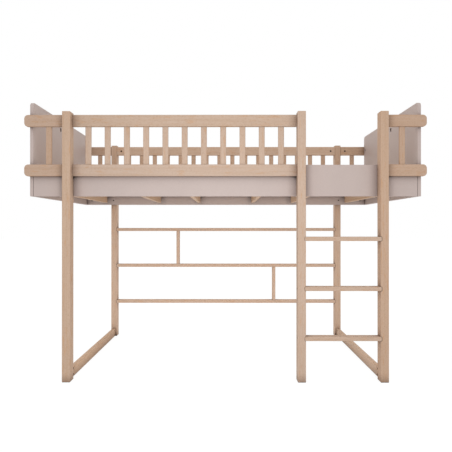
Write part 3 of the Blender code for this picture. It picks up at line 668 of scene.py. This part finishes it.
# One long tongue through the shaft makes the tenon at either end
tenon = add(GUARD, "ShaderNodeSeparateXYZ", {"Vector": given["Tenon"]}).node.outputs
inputs = {0: tenon["Z"], 1: 2.0, 2: given["Height"]}
length = add(GUARD, "ShaderNodeMath", inputs, operation="MULTIPLY_ADD")
size = add(GUARD, "ShaderNodeCombineXYZ", {"X": tenon["X"], "Y": tenon["Y"], "Z": length})
tongue = add(GUARD, "GeometryNodeMeshCube", {"Size": size})
raised = add(GUARD, "ShaderNodeMath", {0: given["Height"], 1: 0.5}, operation="MULTIPLY")
raised = add(GUARD, "ShaderNodeCombineXYZ", {"Z": raised})
tongue = add(GUARD, "GeometryNodeTransform", {"Geometry": tongue, "Translation": raised})
inputs = {"Mesh 2": [shaft, tongue]}
baluster = add(GUARD, "GeometryNodeMeshBoolean", inputs, operation="UNION", solver="EXACT")
# The grain runs up each baluster
place = add(GUARD, "GeometryNodeInputPosition")
place = add(GUARD, "ShaderNodeSeparateXYZ", {"Vector": place}).node.outputs
along = add(GUARD, "ShaderNodeCombineXYZ", {"X": place["Z"], "Y": place["X"], "Z": place["Y"]})
inputs = {"Geometry": baluster, "Name": "grain", "Value": along}
baluster = add(GUARD, "GeometryNodeStoreNamedAttribute", inputs, data_type="FLOAT_VECTOR")
# With end points as its mode, a mesh line's offset is its last point
inputs = {"Count": given["Count"], "Start Location": given["First"], "Offset": given["Last"]}
line = add(GUARD, "GeometryNodeMeshLine", inputs, mode="END_POINTS")
row = add(GUARD, "GeometryNodeInstanceOnPoints", {"Points": line, "Instance": baluster})
inputs = {"Geometry": row, "Name": "number", "Value": add(GUARD, "GeometryNodeInputIndex")}
row = add(GUARD, "GeometryNodeStoreNamedAttribute", inputs, data_type="INT", domain="INSTANCE")
row = add(GUARD, "GeometryNodeRealizeInstances", {"Geometry": row})
# Each baluster comes from its own place in the log. Inputs 0 and 1 of a random value are a
# vector's least and greatest values, and inputs 2 and 3 a number's.
number = add(GUARD, "GeometryNodeInputNamedAttribute", {"Name": "number"}, data_type="INT")
inputs = {1: LOG_SIZE, "ID": number, "Seed": given["Seed"]}
shift = add(GUARD, "FunctionNodeRandomValue", inputs, data_type="FLOAT_VECTOR")
inputs = {"Name": "grain"}
grain = add(GUARD, "GeometryNodeInputNamedAttribute", inputs, data_type="FLOAT_VECTOR")
grain = add(GUARD, "ShaderNodeVectorMath", {0: grain, 1: shift}, operation="ADD")
inputs = {"Geometry": row, "Name": "grain", "Value": grain}
row = add(GUARD, "GeometryNodeStoreNamedAttribute", inputs, data_type="FLOAT_VECTOR")
inputs = {0: 1.0, 1: given["Timber spread"]}
darkest = add(GUARD, "ShaderNodeMath", inputs, operation="SUBTRACT")
palest = add(GUARD, "ShaderNodeMath", inputs, operation="ADD")
inputs = {2: darkest, 3: palest, "ID": number, "Seed": given["Seed"]}
lightness = add(GUARD, "FunctionNodeRandomValue", inputs).node.outputs[1]
inputs = {0: given["Timber"], "Scale": lightness}
own = add(GUARD, "ShaderNodeVectorMath", inputs, operation="SCALE")
inputs = {"Geometry": row, "Name": "timber", "Value": own}
row = add(GUARD, "GeometryNodeStoreNamedAttribute", inputs, data_type="FLOAT_COLOR")
row = add(GUARD, "GeometryNodeRemoveAttribute", {"Geometry": row, "Name": "number"})
both = add(GUARD, "GeometryNodeJoinGeometry", {"Geometry": [given["Geometry"], row]})
both = add(GUARD, "GeometryNodeSetMaterial", {"Geometry": both, "Material": given["Wood"]})
add(GUARD, "NodeGroupOutput", {"Geometry": both})

FRONT_NAMES = [f"front_baluster_{number:02}" for number in range(1, FRONT_COUNT + 1)]
FRONT_END_NAMES = ["end_baluster_front_left", "end_baluster_front_right"]
BACK_END_NAMES = ["end_baluster_back_left", "end_baluster_back_right"]
first_low, first_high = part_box(FRONT_NAMES[0])
foot_z = first_low.z + TENON_SIZE[2]
shaft_height = first_high.z - TENON_SIZE[2] - foot_z
back_y = middle("back_upper_rail").y
back_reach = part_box("back_upper_rail")[1].x - BACK_MARGIN
back_ends = [Vector((side * back_reach, back_y, 0)) for side in (-1, 1)]
rows = (
    (middle(FRONT_NAMES[0]), middle(FRONT_NAMES[-1]), FRONT_COUNT, FRONT_BALUSTER_TIMBER),
    (*map(middle, FRONT_END_NAMES), len(FRONT_END_NAMES), FRONT_END_BALUSTER_TIMBER),
    (*map(middle, BACK_END_NAMES), len(BACK_END_NAMES), BACK_BALUSTER_TIMBER_AND_PAINTED_LIGHT),
    (*back_ends, BACK_COUNT, BACK_BALUSTER_TIMBER_AND_PAINTED_LIGHT),
)
balusters = new_object("balusters", bmesh.new())
for seed, (first, last, count, timber_and_painted_light) in enumerate(rows):
    first.z = last.z = foot_z
    apply_tree(balusters, GUARD, {
        "First": first, "Last": last, "Count": count, "Width": first_high.x - first_low.x,
        "Thickness": first_high.y - first_low.y, "Height": shaft_height,
        "Edge radius": BALUSTER_EDGE, "Edge steps": ROUND_STEPS, "Tenon": TENON_SIZE,
        "Timber": colour(timber_and_painted_light), "Timber spread": BALUSTER_SPREAD, "Seed": seed,
        "Wood": BEECH,
    })
polish(balusters)
stand_in(balusters, "beech", *FRONT_NAMES, *FRONT_END_NAMES, *BACK_END_NAMES)


# Two side boards of 18 mm board, edged all round and sprayed in a satin rose-grey paint. Bolts in
# sunk holes hold each board to its posts, and cam locks near its ends draw the end panels tight.

BOARD_EDGE = 0.0015
BOARD_END_EDGE = 0.002
BOARD_BOLT_SINK = (0.009, 0.0095)
BOARD_FIXING_LIFTS = (0.0325, 0.0965)
CAM_HOLE = (0.0152, 0.0128)
CAM_INSET = 0.034

PAINT_COLOUR = "C8B8B2"
PIMPLES = {"sizes_mm": (4, 4, 4), "low": 0.35, "high": 0.65, "detail": 3, "roughness": 0.7}
PIMPLE_STAIN = ("F7F5F4", 0.7)
PAINT_CLOUDS = {"sizes_mm": (160, 160, 160), "low": 0.3, "high": 0.7, "offset": 11}
PAINT_CLOUD_STAIN = ("FBFBFB", 1.0)
PAINT_ROUGHNESS = {"To Min": 0.52, "To Max": 0.60}
PAINT_IOR = 1.48
PAINT_RELIEF = {"Strength": 0.2, "Distance": 0.0002}


def satin_paint():
    """Sprayed satin paint on smooth board: even, with the faint pimples of a spray coat. They are
    about 1 mm on the real board and drawn several times that, so that they show."""
    made = new_material("rose_grey_satin_paint")
    tree = made.node_tree
    places = add(tree, "ShaderNodeTexCoord").node.outputs["Object"]
    pimples = blotches(tree, places, **PIMPLES)
    clouds = blotches(tree, places, **PAINT_CLOUDS)
    # Painted shade: the colour darkens in inner corners and goes nearly black on the walls of holes
    corner = shut_in(tree)
    hole = add(tree, "ShaderNodeMapRange", {"Value": corner, **HOLE_SHARES})
    body = stained_and_shaded(tree, colour(PAINT_COLOUR), (clouds, *PAINT_CLOUD_STAIN),
                   (pimples, *PIMPLE_STAIN), (corner, *CORNER_PAINTED_SHADE), (hole, *HOLE_PAINTED_SHADE))
    gloss = add(tree, "ShaderNodeMapRange", {"Value": pimples, **PAINT_ROUGHNESS})
    bump = add(tree, "ShaderNodeBump", {"Height": pimples, **PAINT_RELIEF})
    inputs = {"Base Color": body, "Roughness": gloss, "Normal": bump, "IOR": PAINT_IOR}
    shader = add(tree, "ShaderNodeBsdfPrincipled", inputs)
    add(tree, "ShaderNodeOutputMaterial", {"Surface": shader})
    return made


PAINT = satin_paint()


def painted_piece(piece):
    """Finishes a piece as painted board that stands for the node that it is named after."""
    polish(piece)
    piece.data.materials.clear()
    piece.data.materials.append(PAINT)
    stand_in(piece, "painted_board", piece.name.removesuffix("_painted"))


board_bolt_spots = []
cam_spots = []
for side_name, inwards in (("front", 1), ("back", -1)):
    name = side_name + "_side_board"
    low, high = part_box(name)
    board = bar(name + "_painted", "X", low, high, BOARD_EDGE, BOARD_END_EDGE)
    face = high.y if inwards > 0 else low.y
    way = (0, inwards, 0)
    levels = [low.z + lift for lift in BOARD_FIXING_LIFTS]
    post_xs = [middle(post_name).x for post_name in POST_TIMBERS_AND_PAINTED_LIGHT if post_name.startswith(side_name)]
    cam_xs = (low.x + CAM_INSET, high.x - CAM_INSET)
    bolts = [((x, face, z), way) for x in post_xs for z in levels]
    cams = [((x, face, z), way) for x in cam_xs for z in levels]
    drill(board, bolts, *BOARD_BOLT_SINK)
    drill(board, cams, *CAM_HOLE)
    board_bolt_spots += bolts
    cam_spots += cams
    painted_piece(board)


# Two end panels of the same painted board, higher than the rails, with round upper corners and
# two round holes each. Cam locks in their inner faces hold them to the end pieces of the rails.

PANEL_EDGE = 0.002
PANEL_CORNER = 0.020
PANEL_HOLE_DIAMETER = 0.024
PANEL_HOLE_OFFSET = 0.076
PANEL_HOLE_DROP = 0.063
PANEL_HOLE_RIM = 0.001

# Each hole is bored from both faces, two thirds of the way through, so that both rims are broken
PANEL_HOLE_DEPTH_SHARE = 2 / 3

for end_name, inwards in (("left", 1), ("right", -1)):
    name = "end_panel_" + end_name
    low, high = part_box(name)
    corners = (PANEL_EDGE, PANEL_CORNER, PANEL_CORNER, PANEL_EDGE)
    panel = bar(name + "_painted", "X", low, high, corners, PANEL_EDGE, CORNER_STEPS)
    inner, outer = (high.x, low.x) if inwards > 0 else (low.x, high.x)
    hole_z = high.z - PANEL_HOLE_DROP
    holes = []
    for y in (-PANEL_HOLE_OFFSET, PANEL_HOLE_OFFSET):
        holes += [((inner, y, hole_z), (inwards, 0, 0)), ((outer, y, hole_z), (-inwards, 0, 0))]
    depth = (high.x - low.x) * PANEL_HOLE_DEPTH_SHARE
    drill(panel, holes, PANEL_HOLE_DIAMETER, depth, PANEL_HOLE_RIM)
    cam_ys = (low.y + CAM_INSET, high.y - CAM_INSET)
    levels = [middle(f"front_{level}_rail_left_end").z for level in ("lower", "upper")]
    cams = [((inner, y, z), (inwards, 0, 0)) for y in cam_ys for z in levels]
    drill(panel, cams, *CAM_HOLE)
    cam_spots += cams
    painted_piece(panel)


# Three wall bars of solid beech, 22 x 44 mm, let into the back posts, with an upright divider
# between each two. Shelves and pockets hang on them.

WALL_BAR_EDGE = 0.0025
# The wall bars and dividers are painted paler, as painted light for the back of the bed
WALL_TIMBER_AND_PAINTED_LIGHT = "D8BCA7"

for name in WALL_BAR_NAMES:
    wall_bar = bar(name + "_wood", "Y", *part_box(name), LET_IN_CORNER, WALL_BAR_EDGE)
    beech_piece(wall_bar, "X", WALL_TIMBER_AND_PAINTED_LIGHT)

for level in ("lower", "upper"):
    name = "wall_divider_" + level
    divider = bar(name + "_wood", "Z", *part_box(name), WALL_BAR_EDGE, 0)
    beech_piece(divider, "Z", WALL_TIMBER_AND_PAINTED_LIGHT)


# The bed base: beech ledgers screwed to the boards carry three slotted plates of 15 mm birch
# plywood. Each plate is stiffened by two beech bearers screwed on from above, which hang between
# the ledgers.

BASE_TIMBER = "D2B59B"
LEDGER_EDGE = 0.001
BEARER_EDGE = 0.002
PLATE_EDGE = 0.001
SLOT_WIDTH = 0.036
SLOT_PITCH = 0.0975
SLOT_END_MARGIN = 0.055
SLOTS_EACH_SIDE = 3
SCREW_HOLE = (0.0084, 0.004)
LEDGER_SCREWS = 8
LEDGER_SCREW_INSET = 0.060
BEARER_SCREWS = 4
BEARER_SCREW_INSET = 0.070

PLY_COLOUR = "DCC8AB"
PLY_FIGURE = {"sizes_mm": (60, 340, 60), "low": 0.35, "high": 0.65, "detail": 3}
PLY_FIGURE_STAIN = ("F0E8DE", 1.0)
PLY_PORES = {"sizes_mm": (2.5, 14, 2.5), "low": 0.58, "high": 0.75, "offset": 23}
PLY_PORE_STAIN = ("D2BDA5", 0.35)
PLY_THICKNESS = 0.0015
PLY_JOINT_SHARES = {"From Min": -0.3, "From Max": 0.3}
PLY_EDGE_SHARES = {"From Min": 0.6, "From Max": 0.4}
DARK_PLY_STAIN = ("CEB192", 1.0)
PLY_ROUGHNESS = 0.6
PLY_RELIEF = {"Strength": 0.2, "Distance": 0.0002}


def plywood():
    """Sanded birch plywood: creamy faces with soft broad figure and short dark pores, and on its
    edges the plies, 1.5 mm thick, light along the grain and dark across it."""
    made = new_material("sanded_birch_plywood")
    tree = made.node_tree
    places = add(tree, "ShaderNodeTexCoord").node.outputs["Object"]
    figure = blotches(tree, places, **PLY_FIGURE)
    pores = blotches(tree, places, **PLY_PORES)
    height = add(tree, "ShaderNodeSeparateXYZ", {"Vector": places}).node.outputs["Z"]
    inputs = {0: height, 1: math.pi / PLY_THICKNESS}
    turns = add(tree, "ShaderNodeMath", inputs, operation="MULTIPLY")
    layer = add(tree, "ShaderNodeMath", {0: turns}, operation="SINE")
    layer = add(tree, "ShaderNodeMapRange", {"Value": layer, **PLY_JOINT_SHARES})
    normal = add(tree, "ShaderNodeNewGeometry").node.outputs["Normal"]
    up = add(tree, "ShaderNodeSeparateXYZ", {"Vector": normal}).node.outputs["Z"]
    flat = add(tree, "ShaderNodeMath", {0: up}, operation="ABSOLUTE")
    edge = add(tree, "ShaderNodeMapRange", {"Value": flat, **PLY_EDGE_SHARES})
    dark_ply = add(tree, "ShaderNodeMath", {0: edge, 1: layer}, operation="MULTIPLY")
    # Painted shade: the colour darkens in inner corners
    body = stained_and_shaded(tree, colour(PLY_COLOUR), (figure, *PLY_FIGURE_STAIN),
                   (pores, *PLY_PORE_STAIN), (dark_ply, *DARK_PLY_STAIN),
                   (shut_in(tree), *CORNER_PAINTED_SHADE))
    bump = add(tree, "ShaderNodeBump", {"Height": pores, **PLY_RELIEF})
    inputs = {"Base Color": body, "Roughness": PLY_ROUGHNESS, "Normal": bump}
    shader = add(tree, "ShaderNodeBsdfPrincipled", inputs)
    add(tree, "ShaderNodeOutputMaterial", {"Surface": shader})
    return made


PLYWOOD = plywood()

# A row of slots with round ends, cut out of a plate. The ends' radius stays just under half of
# the slot's width, so that the two roundings of an end don't meet in one point.
SLOT_END_SHARE = 0.4999

PLATE, given = new_tree("slotted plate", {
    "First": "Vector", "Last": "Vector", "Count": "Int", "Slot width": "Float",
    "Slot length": "Float", "Cut height": "Float", "Corner steps": "Int",
})
inputs = {0: given["Slot width"], 1: SLOT_END_SHARE}
radius = add(PLATE, "ShaderNodeMath", inputs, operation="MULTIPLY")
inputs = {"Width": given["Slot width"], "Thickness": given["Slot length"],
          "Height": given["Cut height"], "Edge radius": radius,
          "Edge steps": given["Corner steps"]}
slot = add(PLATE, "GeometryNodeGroup", inputs, node_tree=PRISM)
inputs = {"Count": given["Count"], "Start Location": given["First"], "Offset": given["Last"]}
line = add(PLATE, "GeometryNodeMeshLine", inputs, mode="END_POINTS")
slots = add(PLATE, "GeometryNodeInstanceOnPoints", {"Points": line, "Instance": slot})
slots = add(PLATE, "GeometryNodeRealizeInstances", {"Geometry": slots})
inputs = {"Mesh 1": given["Geometry"], "Mesh 2": slots}
slotted = add(PLATE, "GeometryNodeMeshBoolean", inputs, operation="DIFFERENCE", solver="EXACT")
add(PLATE, "NodeGroupOutput", {"Geometry": slotted})


def evenly(low, high, count):
    return [low + (high - low) * i / (count - 1) for i in range(count)]


screw_spots = []
for side_name, inwards in (("front", 1), ("back", -1)):
    name = side_name + "_ledger"
    low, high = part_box(name)
    ledger = bar(name + "_wood", "X", low, high, LEDGER_EDGE, LEDGER_EDGE)
    face = high.y if inwards > 0 else low.y
    xs = evenly(low.x + LEDGER_SCREW_INSET, high.x - LEDGER_SCREW_INSET, LEDGER_SCREWS)
    spots = [((x, face, middle(name).z), (0, inwards, 0)) for x in xs]
    drill(ledger, spots, *SCREW_HOLE)
    screw_spots += spots
    beech_piece(ledger, "X", BASE_TIMBER)

for plate_name in ("left", "middle", "right"):
    name = "base_plate_" + plate_name
    low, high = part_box(name)
    plate = bar(name + "_plywood", "Z", low, high, PLATE_EDGE, PLATE_EDGE)
    thickness = high.z - low.z
    x = middle(name).x
    # The slots' cutters reach past both faces by the plate's thickness
    z = low.z - thickness
    reach = SLOT_PITCH * (SLOTS_EACH_SIDE - 1 / 2)
    apply_tree(plate, PLATE, {
        "First": (x - reach, 0, z), "Last": (x + reach, 0, z), "Count": 2 * SLOTS_EACH_SIDE,
        "Slot width": SLOT_WIDTH, "Slot length": high.y - low.y - 2 * SLOT_END_MARGIN,
        "Cut height": 3 * thickness, "Corner steps": CORNER_STEPS,
    })
    spots = []
    for end_name in ("left", "right"):
        bearer_name = f"base_bearer_{plate_name}_{end_name}"
        bearer_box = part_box(bearer_name)
        bearer = bar(bearer_name + "_wood", "Y", *bearer_box, BEARER_EDGE, BEARER_EDGE)
        beech_piece(bearer, "Y", BASE_TIMBER)
        ys = evenly(low.y + BEARER_SCREW_INSET, high.y - BEARER_SCREW_INSET, BEARER_SCREWS)
        spots += [((middle(bearer_name).x, y, high.z), (0, 0, 1)) for y in ys]
    drill(plate, spots, *SCREW_HOLE)
    screw_spots += spots
    polish(plate)
    plate.data.materials.clear()
    plate.data.materials.append(PLYWOOD)
    stand_in(plate, "birch_plywood", name)


# Fasteners of zinc-plated steel: socket-head bolts in sunk holes, barrel nuts with a screwdriver
# slot, cam locks with a cross slot and countersunk cross-head screws.

HEX_KEY = 0.005
HEX_SIDE = HEX_KEY / math.sqrt(3)
HEAD_SIZES = {
    "barrel_nuts": {
        "Diameter": 0.0116, "Height": 0.0098, "Chamfer": 0.0005, "Sunk": 0.0062,
        "Recess bars": 1, "Recess length": 0.0078, "Recess width": 0.0015,
        "Recess depth": 0.002,
    },
    "board_bolts": {
        "Diameter": 0.0084, "Height": 0.0035, "Chamfer": 0.0005, "Sunk": 0.0056,
        "Recess bars": 3, "Recess length": HEX_KEY, "Recess width": HEX_SIDE,
        "Recess depth": 0.003,
    },
    "end_bolts": {
        "Diameter": 0.0105, "Height": 0.0040, "Chamfer": 0.0006, "Sunk": 0.0032,
        "Recess bars": 3, "Recess length": HEX_KEY, "Recess width": HEX_SIDE,
        "Recess depth": 0.003,
    },
    "cam_locks": {
        "Diameter": 0.0148, "Height": 0.0122, "Chamfer": 0.0004, "Sunk": 0.0004,
        "Recess bars": 2, "Recess length": 0.0068, "Recess width": 0.0014,
        "Recess depth": 0.0025,
    },
    "screws": {
        "Diameter": 0.0080, "Height": 0.0032, "Chamfer": 0.0002, "Sunk": 0.0004,
        "Recess bars": 2, "Recess length": 0.0042, "Recess width": 0.0011,
        "Recess depth": 0.0022,
    },
}
ZINC_COLOUR = "8E9092"
ZINC_CLOUDS = {"sizes_mm": (3, 3, 3), "low": 0.3, "high": 0.7, "detail": 3, "roughness": 0.6}
ZINC_CLOUD_STAIN = ("D8DADB", 1.0)
SUNK_SHARES = {"From Min": 0.3, "From Max": 0.5}
SUNK_PAINTED_SHADE = ("1C1A19", 1.0)
ZINC_ROUGHNESS = {"To Min": 0.4, "To Max": 0.55}


def zinc_plate():
    """Zinc plating on steel: a dull bluish white metal with cloudy, slightly uneven gloss. At the
    bottom of a hole it is painted nearly black, as painted shade."""
    made = new_material("zinc_plated_steel")
    tree = made.node_tree
    places = add(tree, "ShaderNodeTexCoord").node.outputs["Object"]
    clouds = blotches(tree, places, **ZINC_CLOUDS)
    # Painted shade: the metal goes nearly black where it sits deep in its hole
    sunk = add(tree, "ShaderNodeMapRange", {"Value": shut_in(tree), **SUNK_SHARES})
    body = stained_and_shaded(tree, colour(ZINC_COLOUR), (clouds, *ZINC_CLOUD_STAIN), (sunk, *SUNK_PAINTED_SHADE))
    gloss = add(tree, "ShaderNodeMapRange", {"Value": clouds, **ZINC_ROUGHNESS})
    inputs = {"Base Color": body, "Roughness": gloss, "Metallic": 1.0}
    shader = add(tree, "ShaderNodeBsdfPrincipled", inputs)
    add(tree, "ShaderNodeOutputMaterial", {"Surface": shader})
    return made


ZINC = zinc_plate()

# A round head at each point, with a chamfer and a recess, turned as it happened to end
HEADS, given = new_tree("fastener heads", {
    "Diameter": "Float", "Height": "Float", "Chamfer": "Float", "Sides": "Int",
    "Recess bars": "Int", "Recess length": "Float", "Recess width": "Float",
    "Recess depth": "Float", "Sunk": "Float", "Seed": "Int", "Metal": "Material",
})
radius = add(HEADS, "ShaderNodeMath", {0: given["Diameter"], 1: 0.5}, operation="MULTIPLY")
inputs = {0: radius, 1: given["Chamfer"]}
top_radius = add(HEADS, "ShaderNodeMath", inputs, operation="SUBTRACT")
inputs = {0: given["Height"], 1: given["Chamfer"]}
body_height = add(HEADS, "ShaderNodeMath", inputs, operation="SUBTRACT")
# A cone stands on its base, so the straight part and the chamfer are both cones, put below the
# top face
inputs = {"Vertices": given["Sides"], "Radius Top": radius, "Radius Bottom": radius,
          "Depth": body_height}
straight = add(HEADS, "GeometryNodeMeshCone", inputs)
straight = lowered(HEADS, straight, given["Height"])
inputs = {"Vertices": given["Sides"], "Radius Top": top_radius, "Radius Bottom": radius,
          "Depth": given["Chamfer"]}
chamfer = add(HEADS, "GeometryNodeMeshCone", inputs)
chamfer = lowered(HEADS, chamfer, given["Chamfer"])
inputs = {"Mesh 2": [straight, chamfer]}
blank = add(HEADS, "GeometryNodeMeshBoolean", inputs, operation="UNION", solver="EXACT")
# One bar makes a slot, two make a cross, and three of the right width make a hexagon
deep = add(HEADS, "ShaderNodeMath", {0: given["Recess depth"], 1: 2.0}, operation="MULTIPLY")
inputs = {"X": given["Recess length"], "Y": given["Recess width"], "Z": deep}
size = add(HEADS, "ShaderNodeCombineXYZ", inputs)
recess = add(HEADS, "GeometryNodeMeshCube", {"Size": size})
inputs = {"Count": given["Recess bars"], "Offset": (0, 0, 0)}
centres = add(HEADS, "GeometryNodeMeshLine", inputs)
index = add(HEADS, "GeometryNodeInputIndex")
step = add(HEADS, "ShaderNodeMath", {0: math.pi, 1: given["Recess bars"]}, operation="DIVIDE")
turn = add(HEADS, "ShaderNodeMath", {0: index, 1: step}, operation="MULTIPLY")
inputs = {"Axis": (0, 0, 1), "Angle": turn}
turn = add(HEADS, "FunctionNodeAxisAngleToRotation", inputs)
inputs = {"Points": centres, "Instance": recess, "Rotation": turn}
recess = add(HEADS, "GeometryNodeInstanceOnPoints", inputs)
recess = add(HEADS, "GeometryNodeRealizeInstances", {"Geometry": recess})
inputs = {"Mesh 1": blank, "Mesh 2": recess, "Self Intersection": True}
head = add(HEADS, "GeometryNodeMeshBoolean", inputs, operation="DIFFERENCE", solver="EXACT")
head = lowered(HEADS, head, given["Sunk"])
inputs = {"Name": "facing"}
facing = add(HEADS, "GeometryNodeInputNamedAttribute", inputs, data_type="FLOAT_VECTOR")
turned = add(HEADS, "FunctionNodeAlignRotationToVector", {"Vector": facing}, axis="Z")
inputs = {3: math.tau, "Seed": given["Seed"]}
spin = add(HEADS, "FunctionNodeRandomValue", inputs).node.outputs[1]
inputs = {"Axis": (0, 0, 1), "Angle": spin}
spin = add(HEADS, "FunctionNodeAxisAngleToRotation", inputs)
inputs = {0: turned, 1: spin}
turned = add(HEADS, "FunctionNodeRotateRotation", inputs, rotation_space="LOCAL")
inputs = {"Points": given["Geometry"], "Instance": head, "Rotation": turned}
heads = add(HEADS, "GeometryNodeInstanceOnPoints", inputs)
heads = add(HEADS, "GeometryNodeRealizeInstances", {"Geometry": heads})
heads = add(HEADS, "GeometryNodeSetMaterial", {"Geometry": heads, "Material": given["Metal"]})
add(HEADS, "NodeGroupOutput", {"Geometry": heads})

head_spots = (nut_spots, board_bolt_spots, end_bolt_spots, cam_spots, screw_spots)
for seed, (name, spots) in enumerate(zip(HEAD_SIZES, head_spots), start=1):
    heads = facing_points(name, spots)
    values = {**HEAD_SIZES[name], "Sides": HOLE_SIDES, "Seed": seed, "Metal": ZINC}
    apply_tree(heads, HEADS, values)
    polish(heads)
    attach(heads, "root")
